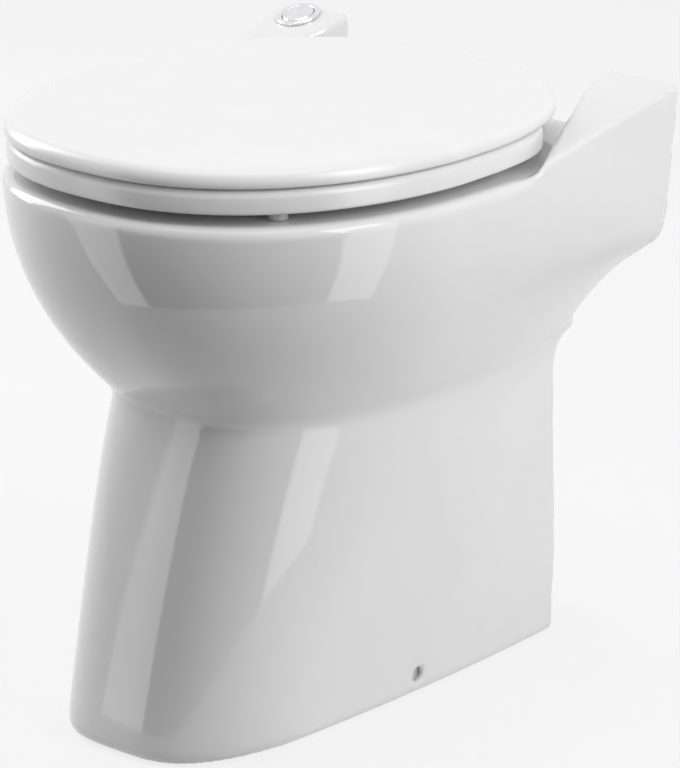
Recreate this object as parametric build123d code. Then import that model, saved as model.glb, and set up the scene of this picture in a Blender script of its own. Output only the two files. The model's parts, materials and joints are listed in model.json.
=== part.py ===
from build123d import *
from math import atan, cos, hypot, pi, radians, sin
import os

os.makedirs("parts", exist_ok=True)

# A floor-standing china toilet with a built-in electric macerator pump.
# Millimetres. The floor is Z = 0, the sitter faces -Y, and X = 0 is the plane of symmetry.

# Overall sizes of the china
DEPTH = 430.0
WIDTH = 400.0
RIM_HEIGHT = 413.0
SHOULDER_RISE = 47.0
HEIGHT = RIM_HEIGHT + SHOULDER_RISE
WALL = 10.0
DECK_THICKNESS = 12.0
FOOT_HEIGHT = 15.0
SHOULDER_GAP = 12.0

FRONT_Y = -DEPTH / 2
FOOT_BACK_Y = DEPTH / 2
BACK_Y = FOOT_BACK_Y - SHOULDER_GAP

# Plan outlines of the china: nose set back, widest point behind the nose, half width
RIM_WIDEST = 207.0
RIM_HALF = WIDTH / 2 - 17.5
CREASE_SETBACK = 84.0
CREASE_WIDEST = 232.0
CREASE_HALF = 114.5
CREASE_BACK_HALF = 88.0
FOOT_SETBACK = 22.5
FOOT_WIDEST = 138.0
FOOT_HALF = 89.5
FOOT_BACK_HALF = 72.0
RIM_POWERS = (2.14, 2.31)
CREASE_POWERS = (1.7, 3.3)
FOOT_POWERS = (1.95, 3.4)
BOWL_CURVE = 2.1
FOOT_CURVE = 0.8
FOOT_EDGE = 9.0

# Shoulders on both sides of the deck
SHOULDER_CORNER_SHARE = 0.595
SHOULDER_CORNER_HALF = WIDTH / 2 - 13.0
SHOULDER_WIDTH = 70.0
RAMP_SLOPE = 0.2924
TROUGH_BACK_HALF = WIDTH / 2 - SHOULDER_WIDTH

# Basin inside the rim, and its outlet over the cutter
BASIN_SETBACK = 47.0
BASIN_LENGTH = 272.0
BASIN_HALF = RIM_HALF - 47.5
SUMP_SETBACK = 145.0
SUMP_Y = FRONT_Y + SUMP_SETBACK
SPIGOT_BORE = 32.0
SPIGOT_RADIUS = SPIGOT_BORE + 8.0
SUMP_RADIUS = SPIGOT_BORE + 2.0
SPIGOT_LENGTH = 32.0
CREASE_SHARE = 0.2113

# Seat and lid
LID_HALF = RIM_HALF - 2.5
LID_OVERHANG = 2.0
LID_BACK_GAP = 14.0
LID_THICKNESS = 13.5
SEAT_THICKNESS = 17.5
SEAT_INSET = 1.5
SEAT_LIFT = 9.0
LID_GAP = 1.5
SEAT_RIM = 50.0
SEAT_BACK_BAR = 47.0
SEAT_EDGE = 6.0
LID_EDGE = 9.0
BUFFER_RADIUS = 7.0
BUFFER_GAP = 0.2
FRONT_BUFFER_INSET = 60.0
FRONT_BUFFER_SETBACK = 78.0
REAR_BUFFER_INSET = 38.0
REAR_BUFFER_SETBACK = 74.0

# Hinge
HINGE_SPACING = 155.0
HINGE_BACK_SET = 14.0
HINGE_HEIGHT = 17.0
PIN_RADIUS = 3.0
PIN_FIT = 0.05
KNUCKLE_RADIUS = 7.0
KNUCKLE_LENGTH = 10.0
POST_LENGTH = 16.0
POST_BASE_RADIUS = 13.0
POST_BASE = 4.0
SIDE_PLAY = 0.4
BOLT_RADIUS = 4.0
BOLT_HOLE = 6.0
BOLT_DROP = 20.0
WASHER = 3.0
WING_NUT = 9.0
WING_HALF = 16.0

# Flush button, on the ramp of the -X shoulder
BUTTON_FROM_SIDE = 32.0
BUTTON_X = BUTTON_FROM_SIDE - WIDTH / 2
BUTTON_BACK_SET = 17.0
BEZEL_HEIGHT = 2.6
CAP_RADIUS = 12.4
CAP_RISE = 3.2
CAP_THICKNESS = 4.2
CAP_PLAY = 0.4
BUTTON_TRAVEL = 3.0
SLEEVE_RADIUS = CAP_RADIUS + CAP_PLAY + 1.0
BEZEL_RADIUS = SLEEVE_RADIUS + 3.7
SLEEVE_DEPTH = 20.0
NUT_RADIUS = SLEEVE_RADIUS + 2.2
NUT_HEIGHT = 6.0
SWITCH_LENGTH = 24.0
STEM_RADIUS = 3.0
STEM_LENGTH = 30.0
LEAD_RADIUS = 2.0
SPRING_WIRE = 0.5
SPRING_RADIUS = 6.0
SPRING_TURNS = 6

# Macerator, on one axis along Y
CHAMBER_RADIUS = 62.0
CHAMBER_WALL = 5.0
CHAMBER_LENGTH = 100.0
CHAMBER_AHEAD = 55.0
FLANGE_RADIUS = CHAMBER_RADIUS + 10.0
FLANGE = 8.0
PUMP_LIFT = 8.0
PUMP_Z = FLANGE_RADIUS + PUMP_LIFT
GASKET = 1.0
NECK_BORE = 35.0
NECK_HEIGHT = 24.0
NECK_TOP = PUMP_Z + CHAMBER_RADIUS + NECK_HEIGHT
NECK_GAP = 2.0
SPIGOT_END = NECK_TOP + NECK_GAP
SUMP_HEIGHT = SPIGOT_END + SPIGOT_LENGTH
CREASE_HEIGHT = SUMP_HEIGHT + CREASE_SHARE * (RIM_HEIGHT - SUMP_HEIGHT)
SHOULDER_CORNER_HEIGHT = CREASE_HEIGHT + SHOULDER_CORNER_SHARE * (RIM_HEIGHT - CREASE_HEIGHT)
SLEEVE_WALL = 4.0
SLEEVE_ABOVE = 20.0
SLEEVE_BELOW = 15.0
BAND_WIDTH = 8.0
BAND_THICKNESS = 1.2
FOOT_BLOCK_NEAR = 22.0
FOOT_BLOCK_FAR = 46.0
FOOT_BLOCK_TOP = 45.0
VOLUTE_LENGTH = 42.0
VOLUTE_RADIUS = CHAMBER_RADIUS
VOLUTE_BORE = 46.0
VOLUTE_WALL = 4.0
INLET_EYE = 16.0
BASKET_GAP = 5.0
BASKET_RADIUS = CHAMBER_RADIUS - CHAMBER_WALL - BASKET_GAP
BASKET_WALL = 2.0
BASKET_SLOTS = 9
SLOT_STEP = 20.0
SLOT_HALF = 3.0
SHAFT_RADIUS = 5.0
SHAFT_FIT = 0.05
SEAL_WALL = 4.0
CARRIER_HALF = 32.0
CARRIER_THICKNESS = 8.0
HUB_RADIUS = 14.0
KNIFE_GAP = 5.0
KNIFE_RADIUS = BASKET_RADIUS - BASKET_WALL - KNIFE_GAP
KNIFE_THICKNESS = 3.0
RIVET_X = 25.0
RIVET_RADIUS = 2.5
IMPELLER_RADIUS = VOLUTE_BORE - 6.0
IMPELLER_HUB = 9.0
IMPELLER_HALF = 10.0
IMPELLER_PLATE = 3.0
VANES = 5
VANE_HALF = 1.5
MOTOR_RADIUS = 48.0
MOTOR_LENGTH = 88.0
CAN_WALL = 4.0
STATOR_THICKNESS = 16.0
AIR_GAP = 1.0
STATOR_SETBACK = 11.0
ROTOR_SETBACK = 14.0
COVER_RADIUS = MOTOR_RADIUS + 8.0
COVER_LENGTH = 12.0
BEARING_RADIUS = 11.0
BEARING_WIDTH = 7.0
BEARING_PLAY = 0.5
CASING_BOLTS = 6
CASING_BOLT_RADIUS = 2.5
CASING_HEAD = 3.5
CASING_NUT = 4.0
CASING_BOLT_CIRCLE = (CHAMBER_RADIUS + FLANGE_RADIUS) / 2
SCREW_ANGLE = 20.0
MOTOR_SCREW_RADIUS = 2.5
MOTOR_HEAD_RADIUS = 4.0
CRADLE_HALF = 30.0
CRADLE_LENGTH = 20.0
CRADLE_BACK_SET = 26.0
CRADLE_DROP = 28.0
PAD_HEIGHT = 4.0
PAD_MARGIN = 2.0

# Discharge line
PIPE_RADIUS = 16.0
PIPE_BORE = 12.5
NOZZLE_RISE = 96.0
NOZZLE_TOP = PUMP_Z + NOZZLE_RISE
SOCKET_DEPTH = 16.0
SOCKET_WALL = 4.0
BEND_RADIUS = 24.0
LINE_Z = NOZZLE_TOP + BEND_RADIUS + 2.0
ELBOW_RUN = 23.0
JOINT_GAP = 1.0
JOINT_HALF = 9.0
JOINT_SLEEVE_WALL = 3.5
JOINT_SLEEVE_LENGTH = 20.0
JOINT_BAND = 6.0
VALVE_RADIUS = 26.0
VALVE_BORE = 21.0
VALVE_LENGTH = 58.0
VALVE_WALL = 4.0
COLLAR_RADIUS = PIPE_RADIUS + 2.0
FLAP_RADIUS = 16.5
FLAP_THICKNESS = 2.5
FLAP_PIN = 1.5
FLAP_GAP = 0.4
FLAP_PIN_BACK = 8.5
FLAP_PIN_RISE = 17.2
EAR_HALF = 4.0
PIPE_END_GAP = 3.0

# Control box on the motor
BOX_HALF = 38.0
BOX_RISE = 88.0
BOX_TOP = PUMP_Z + BOX_RISE
BOX_SKIRT = 32.0
BOX_WALL = 2.5
BOX_SETBACK = 23.0
BOX_LENGTH = 76.0
CORNER_POST = 4.0
LID_SCREW_RADIUS = 1.5
BOARD_HALF = 29.0
BOARD_THICKNESS = 1.6
BOARD_MARGIN = 10.0
STANDOFF = 5.0
STANDOFF_RADIUS = 2.5
GLAND_X = -18.0
GLAND_HOLE = 5.0
GLAND_RADIUS = 9.0
GLAND_NECK = 7.5
GLAND_BORE = 3.5

# Rinse valve beside the control box
VALVE_BLOCK = 24.0
VALVE_BLOCK_LENGTH = 46.0
VALVE_BLOCK_LIFT = 40.0
VALVE_BLOCK_GAP = 4.0
VALVE_BLOCK_SETBACK = 13.0
BRACKET_SHEET = 2.0
BRACKET_LENGTH = 40.0
BRACKET_RISE = 22.0
COIL_RADIUS = 15.0
COIL_HEIGHT = 30.0
CORE_RADIUS = 6.0
CORE_SINK = 4.0
PLUNGER_RADIUS = 4.5
PLUNGER_TRAVEL = 3.0
INLET_RADIUS = 10.4
INLET_BORE = INLET_RADIUS - 3.0
INLET_LENGTH = 36.0
INLET_COLLAR = 4.0
HOSE_RADIUS = 6.0
HOSE_WALL = 2.0
TAIL_RADIUS = HOSE_RADIUS - HOSE_WALL
TAIL_BORE = 2.5
TAIL_LENGTH = 10.0
TAIL_SETBACK = 7.0
NOZZLE_RADIUS = 7.0
NOZZLE_DROP = 25.0
NOZZLE_LENGTH = 30.0
NOZZLE_TAIL = 12.0
NOZZLE_HEAD = 4.0
JET_ANGLE = 50.0
JET_RADIUS = 1.0
HOSE_GAP = 0.4

# Floor fixing
HOLE_RADIUS = 6.0
HOLE_HEIGHT = 16.0
HOLE_FROM_FRONT = 259.0
BRACKET_THICKNESS = 3.0
BRACKET_WIDTH = 28.0
BRACKET_HEIGHT = 32.0
BRACKET_FOOT = 30.0
FLOOR_HOLE_INSET = 16.0
SIDE_SCREW_RADIUS = 3.0
SIDE_SCREW_TIP = 9.0
SIDE_HEAD_RADIUS = 5.0
SIDE_HEAD_LENGTH = 3.0
BRACKET_FACE = FOOT_HALF - 20.5
SIDE_HEAD = FOOT_HALF - 7.5
FLOOR_HOLE_RADIUS = 3.5

CLEAR = 0.3
SEALED = 0.1
ABOVE = 10.0


def rod(axis, radius, start, end, first, second):
    """A cylinder along an axis; first and second are its other two coordinates, in X, Y, Z order."""
    length = end - start
    middle = (start + end) / 2
    if axis == "X":
        return Pos(middle, first, second) * Rot(0, 90, 0) * Cylinder(radius, length)
    if axis == "Y":
        return Pos(first, middle, second) * Rot(90, 0, 0) * Cylinder(radius, length)
    return Pos(first, second, middle) * Cylinder(radius, length)


def tube(axis, radius, bore, start, end, first, second):
    outside = rod(axis, radius, start, end, first, second)
    return outside - rod(axis, bore, start - 1, end + 1, first, second)


def block(x0, x1, y0, y1, z0, z1):
    return Pos((x0 + x1) / 2, (y0 + y1) / 2, (z0 + z1) / 2) * Box(x1 - x0, y1 - y0, z1 - z0)


def both_sides(shape):
    return [shape, shape.mirror(Plane.YZ)]


def save(name, *shapes):
    solids = [solid for shape in shapes for solid in shape.solids()]
    whole = solids[0] if len(solids) == 1 else Compound(solids)
    export_step(whole, "parts/" + name + ".step")


def mix(first, second, share):
    return tuple(a + (b - a) * share for a, b in zip(first, second))


# Sections of the china

def half_section(shape, back_half, back_y, inset):
    """Right-hand points of a plan section, from its back corner round to the nose."""
    nose, widest, half, nose_power, side_power = shape
    nose += inset
    half -= inset
    back_half -= inset
    points = []
    for step in range(SIDE_STEPS):
        share = 1 - step / SIDE_STEPS
        points.append((half + (back_half - half) * share ** 2, widest + (back_y - widest) * share))
    for step in range(NOSE_STEPS):
        across = sin(pi / 2 * (1 - step / NOSE_STEPS))
        along = (1 - across ** side_power) ** (1 / nose_power)
        points.append((half * across, widest - (widest - nose) * along))
    points.append((0.0, nose))
    return points


def section(height, shape, back_half, back_y, inset):
    right = half_section(shape, back_half, back_y, inset)
    left = [(-x, y) for x, y in reversed(right[:-1])]
    points = [(x, y, height) for x, y in right + left]
    side = Edge.make_spline(points, parameters=SECTION_STEPS)
    return Wire([side, Edge.make_line(points[-1], points[0])])


def even_steps():
    """Spline parameters shared by all sections, so that they loft into one light surface."""
    ahead = [RIM_WIDEST / SIDE_STEPS] * SIDE_STEPS
    round_nose = []
    for step in range(NOSE_STEPS):
        near = pi / 2 * step / NOSE_STEPS
        far = pi / 2 * (step + 1) / NOSE_STEPS
        across = RIM_HALF * (cos(near) - cos(far))
        round_nose.append(hypot(across, RIM_WIDEST * (sin(far) - sin(near))))
    lengths = ahead + round_nose
    lengths = lengths + lengths[::-1]
    steps = [0.0]
    for length in lengths:
        steps.append(steps[-1] + length)
    return [step / steps[-1] for step in steps]


SIDE_STEPS = 5
NOSE_STEPS = 8
SECTION_STEPS = even_steps()


def outlines():
    rim = (FRONT_Y, FRONT_Y + RIM_WIDEST, RIM_HALF) + RIM_POWERS
    crease = (FRONT_Y + CREASE_SETBACK, FRONT_Y + CREASE_WIDEST, CREASE_HALF) + CREASE_POWERS
    foot = (FRONT_Y + FOOT_SETBACK, FRONT_Y + FOOT_WIDEST, FOOT_HALF) + FOOT_POWERS
    return rim, crease, foot


def foot_levels():
    """Pedestal sections below the crease: height, outline, back half width, back plane, edge round."""
    rim, crease, foot = outlines()
    rounded = {0.0: FOOT_EDGE, 0.2: 0.45 * FOOT_EDGE, 0.8: 0.04 * FOOT_EDGE}
    levels = []
    for share, edge in rounded.items():
        levels.append((share * FOOT_HEIGHT, foot, edge))
    for share in (0.2, 0.45, 0.7, 0.87, 0.96):
        height = FOOT_HEIGHT + share * (CREASE_HEIGHT - FOOT_HEIGHT)
        levels.append((height, mix(crease, foot, (1 - share) ** FOOT_CURVE), 0.0))
    result = []
    for height, outline, edge in levels:
        down = 1 - height / CREASE_HEIGHT
        back_half = CREASE_BACK_HALF + (FOOT_BACK_HALF - CREASE_BACK_HALF) * down
        back_y = BACK_Y + SHOULDER_GAP * down
        result.append((height, outline, back_half, back_y, edge))
    return result


def bowl_levels():
    """Bowl and shoulder sections from the crease up."""
    rim, crease, foot = outlines()
    rise = SHOULDER_CORNER_HEIGHT - CREASE_HEIGHT
    spread = SHOULDER_CORNER_HALF - CREASE_BACK_HALF
    under = [(0.0, 0.0), (0.17, 0.1), (0.35, 0.24), (0.55, 0.43), (0.73, 0.63), (0.87, 0.84), (0.96, 0.95)]
    levels = [(CREASE_HEIGHT + up * rise, CREASE_BACK_HALF + out * spread) for up, out in under]
    levels.append((SHOULDER_CORNER_HEIGHT + 5, SHOULDER_CORNER_HALF + 0.5))
    levels.append((SHOULDER_CORNER_HEIGHT + 21, SHOULDER_CORNER_HALF + 3.5))
    levels.append((RIM_HEIGHT, WIDTH / 2 - 4.5))
    levels.append((HEIGHT, WIDTH / 2))
    levels.append((HEIGHT + ABOVE, WIDTH / 2))
    result = []
    for height, back_half in levels:
        down = max(0.0, (RIM_HEIGHT - height) / (RIM_HEIGHT - CREASE_HEIGHT))
        result.append((height, mix(rim, crease, down ** BOWL_CURVE), back_half, BACK_Y, 0.0))
    return result


def china_body(inset, past):
    """The outer form, inset by a wall and run past its open back; it has a crease under the bowl."""
    whole = Part()
    for levels in (foot_levels() + bowl_levels()[:1], bowl_levels()):
        wires = []
        for height, outline, back_half, back_y, edge in levels:
            edge = 0.7 * edge if inset else edge
            widest, half = outline[1:3]
            reach = (back_y + past - widest) / (back_y - widest)
            back_half = half + (back_half - half) * reach ** 2
            wires.append(section(height, outline, back_half, back_y + past, inset + edge))
        whole = whole + Solid.make_loft(wires)
    return whole


def trough_points(grow):
    """Right-hand edge of the shoulder's inner wall, from the back plane to the rim."""
    half = TROUGH_BACK_HALF
    shape = [(half, 0), (half + 5, 30), (half + 13, 48), (half + 27, 80), (half + 40, 108)]
    shape += [(half + 51, 132), (half + 60, 165), (half + 64, 200)]
    return [(x + grow, BACK_Y - back) for x, back in shape]


def above_china(drop, grow):
    """What is cut away above rim, ramps and deck; drop and grow move it for the inner faces."""
    low = RIM_HEIGHT - drop
    high = HEIGHT - drop * hypot(1, RAMP_SLOPE)
    reach = high - low
    begin = BACK_Y - reach / RAMP_SLOPE
    top = HEIGHT + 20
    side = Polyline((FRONT_Y - 30, low), (begin, low), (BACK_Y + 30, high + 30 * RAMP_SLOPE),
                    (BACK_Y + 30, top), (FRONT_Y - 30, top), close=True)
    ramps = Pos(-WIDTH, 0, 0) * extrude(Plane.YZ * make_face(side), 2 * WIDTH, dir=(1, 0, 0))
    right = trough_points(grow)
    behind = (right[0][0], BACK_Y + 30)
    ahead = (right[-1][0], FRONT_Y - 30)
    edge = Spline(*right)
    half = [Line(behind, right[0]), edge, Line(right[-1], ahead)]
    outline = half + [line.mirror(Plane.YZ) for line in half]
    outline += [Line(behind, (-behind[0], behind[1])), Line(ahead, (-ahead[0], ahead[1]))]
    trough = Pos(0, 0, low) * extrude(make_face(outline), top - low, dir=(0, 0, 1))
    return ramps, trough


def basin(grow):
    """The bowl's inside, or with grow its outside."""
    top_middle = FRONT_Y + BASIN_SETBACK + BASIN_LENGTH / 2
    half_length = BASIN_LENGTH / 2
    depth = RIM_HEIGHT - SUMP_HEIGHT
    levels = [(0.0, 1.0), (0.3, 0.93), (0.57, 0.66), (0.81, 0.22), (0.93, 0.06), (1.0, 0.0)]
    wires = []
    for down, share in levels:
        height = RIM_HEIGHT - down * depth
        if grow and down == 0.0:
            height -= WALL / 2
        if not grow and down == 0.0:
            height += 1
        if down == 1.0:
            height -= grow
        middle = SUMP_Y + (top_middle - SUMP_Y) * share ** 1.4
        along = SUMP_RADIUS + (half_length - SUMP_RADIUS) * share + grow
        across = SUMP_RADIUS + (BASIN_HALF - SUMP_RADIUS) * share + grow
        points = []
        for step in range(16):
            angle = 2 * pi * step / 16
            points.append((across * cos(angle), middle + along * sin(angle), height))
        steps = [i / 16 for i in range(17)]
        wires.append(Wire([Edge.make_spline(points, periodic=True, parameters=steps)]))
    return Solid.make_loft(wires)


def make_china():
    ramps, trough = above_china(0, 0)
    inner_ramps, inner_trough = above_china(DECK_THICKNESS, WALL)
    outside = china_body(0.0, 0.0) - ramps - trough
    hollow = china_body(WALL, 40.0) - inner_ramps - inner_trough
    hollow = hollow - basin(WALL) - rod("Z", SPIGOT_RADIUS, SPIGOT_END, SUMP_HEIGHT + 20, 0, SUMP_Y)
    china = outside - hollow - basin(0.0)
    china = china - rod("Z", SPIGOT_BORE, SPIGOT_END - 1, SUMP_HEIGHT + 5, 0, SUMP_Y)
    china = china - BUTTON_PLANE * rod("Z", SLEEVE_RADIUS + SEALED, -2 * DECK_THICKNESS, 10, 0, 0)
    china = china - rod("Y", NOZZLE_RADIUS + SEALED, 60, NOZZLE_END, 0, NOZZLE_Z)
    for side in (-1, 1):
        bolt_x = side * HINGE_SPACING / 2
        china = china - rod("Z", BOLT_HOLE, RIM_HEIGHT - 2 * DECK_THICKNESS, RIM_HEIGHT + 1, bolt_x, HINGE_Y)
        near, far = sorted((side * (FOOT_BACK_HALF - WALL), side * WIDTH / 2))
        china = china - rod("X", HOLE_RADIUS, near, far, HOLE_Y, HOLE_HEIGHT)
    return china


# Seat and lid

# Rear outlines: share of the half width, and distance ahead of the lid's rear edge
LID_REAR = [(0.972, 143), (0.917, 104), (0.831, 68), (0.694, 38), (0.561, 17), (0.444, 5), (0.289, 0)]
SEAT_REAR = [(0.972, 143), (0.927, 107), (0.88, 89), (0.773, 68), (0.63, 45), (0.473, 30), (0.305, 26)]


def egg(nose, widest, half, rear, back, powers):
    """A closed plan outline: a rounded front by formula and a rear through a few set points."""
    points = []
    for step in range(8):
        across = sin(pi / 2 * step / 8)
        along = (1 - across ** powers[1]) ** (1 / powers[0])
        points.append((half * across, widest - (widest - nose) * along))
    points.append((half, widest))
    points += [(half * share, back - ahead) for share, ahead in rear]
    left = [(-x, y) for x, y in reversed(points[1:])]
    end = [(0.0, back - rear[-1][1])]
    return make_face(Wire([Edge.make_spline([(x, y) for x, y in points + end + left], periodic=True)]))


def slab(outline, low, thickness):
    return Pos(0, 0, low) * extrude(outline, thickness, dir=(0, 0, 1))


def knuckle(inner_x, outer_x, arm):
    """A hinge eye on the pin's axis, with its arm, less the pin's bore."""
    eye = rod("X", KNUCKLE_RADIUS, inner_x, outer_x, HINGE_Y, HINGE_Z) + arm
    return eye - rod("X", PIN_RADIUS + PIN_FIT, inner_x - 1, outer_x + 1, HINGE_Y, HINGE_Z)


def make_seat():
    half = LID_HALF - SEAT_INSET
    nose = LID_NOSE + SEAT_INSET
    outline = egg(nose, RIM_WIDEST_Y, half, SEAT_REAR, LID_BACK_Y, RIM_POWERS)
    seat = slab(outline, SEAT_LOW, SEAT_THICKNESS)
    seat = fillet(seat.faces().sort_by(Axis.Z)[-1].edges(), SEAT_EDGE)
    seat = fillet(seat.faces().sort_by(Axis.Z)[0].edges(), SEAT_EDGE / 2)
    opening_back = LID_BACK_Y - SEAT_REAR[-1][1] - SEAT_BACK_BAR
    length = opening_back - (nose + SEAT_RIM)
    middle = nose + SEAT_RIM + length / 2
    opening = make_face(Ellipse(half - SEAT_RIM, length / 2))
    seat = seat - Pos(0, middle, SEAT_LOW - 1) * extrude(opening, SEAT_THICKNESS + 2)
    inner = HINGE_X - POST_LENGTH / 2 - SIDE_PLAY - KNUCKLE_LENGTH
    front = LID_BACK_Y - SEAT_REAR[-1][1] - 6
    arm = block(inner, inner + KNUCKLE_LENGTH, front, HINGE_Y, HINGE_Z - 5, HINGE_Z + 5)
    for side in both_sides(knuckle(inner, inner + KNUCKLE_LENGTH, arm)):
        seat = seat + side
    return seat


def make_lid():
    outline = egg(LID_NOSE, RIM_WIDEST_Y, LID_HALF, LID_REAR, LID_BACK_Y, RIM_POWERS)
    lid = slab(outline, LID_LOW, LID_THICKNESS)
    lid = fillet(lid.faces().sort_by(Axis.Z)[-1].edges(), LID_EDGE)
    inner = HINGE_X + POST_LENGTH / 2 + SIDE_PLAY
    outer = inner + KNUCKLE_LENGTH
    arm = block(inner, outer, HINGE_Y - KNUCKLE_RADIUS, HINGE_Y + 3, HINGE_Z, LID_LOW + 1)
    for side in both_sides(knuckle(inner, outer, arm)):
        lid = lid + side
    return lid


def buffer(x, y, low, high, radius):
    shape = Pos(x, y, (low + high) / 2) * Cylinder(radius, high - low)
    return chamfer(shape.edges().sort_by(Axis.Z)[0], min(1.0, (high - low) / 3))


def make_buffers():
    front_x = LID_HALF - FRONT_BUFFER_INSET
    front_y = LID_NOSE + FRONT_BUFFER_SETBACK
    rear_x = LID_HALF - REAR_BUFFER_INSET
    rear_y = RIM_WIDEST_Y + REAR_BUFFER_SETBACK
    low = RIM_HEIGHT + BUFFER_GAP
    pads = []
    for x, y in ((front_x, front_y), (rear_x, rear_y)):
        pads += both_sides(buffer(x, y, low, SEAT_LOW, BUFFER_RADIUS))
    save("seat_buffers", *pads)
    low = SEAT_LOW + SEAT_THICKNESS + BUFFER_GAP
    small = buffer(front_x - 2, front_y + BUFFER_RADIUS, low, LID_LOW, BUFFER_RADIUS - 1)
    save("lid_buffers", *both_sides(small))


def make_hinges():
    near = HINGE_X - POST_LENGTH / 2
    far = HINGE_X + POST_LENGTH / 2
    half = KNUCKLE_RADIUS + 1
    post = rod("X", half, near, far, HINGE_Y, HINGE_Z)
    post += block(near, far, HINGE_Y - half, HINGE_Y + half, RIM_HEIGHT + POST_BASE / 2, HINGE_Z)
    post += rod("Z", POST_BASE_RADIUS, RIM_HEIGHT, RIM_HEIGHT + POST_BASE, HINGE_X, HINGE_Y)
    bolt_top = RIM_HEIGHT + 2 * POST_BASE
    pin_half = POST_LENGTH / 2 + SIDE_PLAY + KNUCKLE_LENGTH
    pin = rod("X", PIN_RADIUS, HINGE_X - pin_half, HINGE_X + pin_half, HINGE_Y, HINGE_Z)
    under = RIM_HEIGHT - DECK_THICKNESS
    bolt = rod("Z", BOLT_RADIUS, under - BOLT_DROP, bolt_top, HINGE_X, HINGE_Y)
    post = post - pin - bolt
    washer = tube("Z", 3 * BOLT_RADIUS, BOLT_RADIUS + SEALED, under - WASHER, under, HINGE_X, HINGE_Y)
    low = under - WASHER - WING_NUT
    nut = rod("Z", 2 * BOLT_RADIUS, low, under - WASHER, HINGE_X, HINGE_Y)
    near = HINGE_X - WING_HALF
    nut += block(near, near + 2 * WING_HALF, HINGE_Y - 2, HINGE_Y + 2, low - 2, low + WING_NUT - 2)
    nut = nut - bolt
    save("hinge_posts", *both_sides(post))
    save("hinge_pins", *both_sides(pin))
    save("hinge_bolts", *both_sides(bolt))
    save("hinge_washers", *both_sides(washer))
    save("hinge_wing_nuts", *both_sides(nut))


# Flush button

def make_button():
    bezel = tube("Z", BEZEL_RADIUS, CAP_RADIUS + CAP_PLAY, 0, BEZEL_HEIGHT, 0, 0)
    bezel += tube("Z", SLEEVE_RADIUS, CAP_RADIUS + CAP_PLAY, -SLEEVE_DEPTH, 0.5, 0, 0)
    cap = rod("Z", CAP_RADIUS, CAP_RISE - CAP_THICKNESS, CAP_RISE, 0, 0)
    cap = fillet(cap.edges().sort_by(Axis.Z)[-1], 0.8)
    low = CAP_RISE - CAP_THICKNESS
    cap += rod("Z", STEM_RADIUS, low - STEM_LENGTH, low, 0, 0)
    nut = tube("Z", NUT_RADIUS, SLEEVE_RADIUS + SEALED, -DECK_THICKNESS - NUT_HEIGHT, -DECK_THICKNESS, 0, 0)
    switch = rod("Z", SLEEVE_RADIUS, -SLEEVE_DEPTH - SWITCH_LENGTH, -SLEEVE_DEPTH, 0, 0)
    drop = low - STEM_LENGTH - BUTTON_TRAVEL - 1
    switch = switch - rod("Z", STEM_RADIUS + CLEAR, drop, 0, 0, 0)
    seat_low = -SLEEVE_DEPTH + SPRING_WIRE + CLEAR
    seat_high = low - SPRING_WIRE - CLEAR
    pitch = (seat_high - seat_low) / SPRING_TURNS
    helix = Edge.make_helix(pitch, seat_high - seat_low, SPRING_RADIUS)
    start = helix @ 0
    profile = Plane(origin=start, z_dir=helix % 0) * Circle(SPRING_WIRE)
    spring = Pos(0, 0, seat_low) * sweep(profile, path=Wire([helix]), is_frenet=True)
    gap = pitch - 2 * SPRING_WIRE
    print("spring gap to itself", round(gap, 2))
    save("button_bezel", BUTTON_PLANE * bezel)
    save("button_cap", BUTTON_PLANE * cap)
    save("button_nut", BUTTON_PLANE * nut)
    save("button_switch", BUTTON_PLANE * switch)
    save("button_spring", BUTTON_PLANE * spring)


# Macerator and pump

def make_chamber():
    case = rod("Y", CHAMBER_RADIUS, CHAMBER_Y, CHAMBER_END, 0, PUMP_Z)
    case += rod("Y", FLANGE_RADIUS, CHAMBER_END - FLANGE, CHAMBER_END, 0, PUMP_Z)
    case += rod("Z", SPIGOT_RADIUS, PUMP_Z, NECK_TOP, 0, SUMP_Y)
    top = PUMP_Z - FOOT_BLOCK_TOP
    foot = block(FOOT_BLOCK_NEAR, FOOT_BLOCK_FAR, CHAMBER_Y + 10, CHAMBER_END - 20, PAD_HEIGHT, top)
    for side in both_sides(foot):
        case += side
    inside = rod("Y", CHAMBER_RADIUS - CHAMBER_WALL, CHAMBER_Y + CHAMBER_WALL, CHAMBER_END + 1, 0, PUMP_Z)
    case = case - inside - rod("Z", NECK_BORE, PUMP_Z, NECK_TOP + 1, 0, SUMP_Y)
    basket = tube("Y", BASKET_RADIUS, BASKET_RADIUS - BASKET_WALL, CHAMBER_Y + CHAMBER_WALL + SEALED,
                  VOLUTE_Y - SEALED, 0, PUMP_Z)
    basket = basket - rod("Z", NECK_BORE - 1, PUMP_Z, PUMP_Z + CHAMBER_RADIUS, 0, SUMP_Y)
    for index in range(BASKET_SLOTS):
        slot = block(0, BASKET_RADIUS + 5, SUMP_Y - 32, SUMP_Y + 28, -SLOT_HALF, SLOT_HALF)
        basket = basket - Pos(0, 0, PUMP_Z) * Rot(0, SLOT_STEP * index - 180, 0) * slot
    outer = SPIGOT_RADIUS + SLEEVE_WALL
    bottom = SPIGOT_END - SLEEVE_BELOW
    sleeve = tube("Z", outer, SPIGOT_RADIUS + SEALED, bottom, SPIGOT_END + SLEEVE_ABOVE, 0, SUMP_Y)
    clamps = []
    for low in (bottom + 1, SPIGOT_END + SLEEVE_ABOVE - BAND_WIDTH - 3):
        high = low + BAND_WIDTH
        band = tube("Z", outer + SEALED + BAND_THICKNESS, outer + SEALED, low, high, 0, SUMP_Y)
        lug = block(-7, 7, SUMP_Y - outer - 7, SUMP_Y - outer - BAND_THICKNESS / 2, low, high)
        clamps.append(band + lug)
    save("cutter_chamber", case - chamber_bolt_holes())
    save("grinding_basket", basket)
    save("outlet_sleeve", sleeve)
    save("sleeve_clamps", *clamps)


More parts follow.
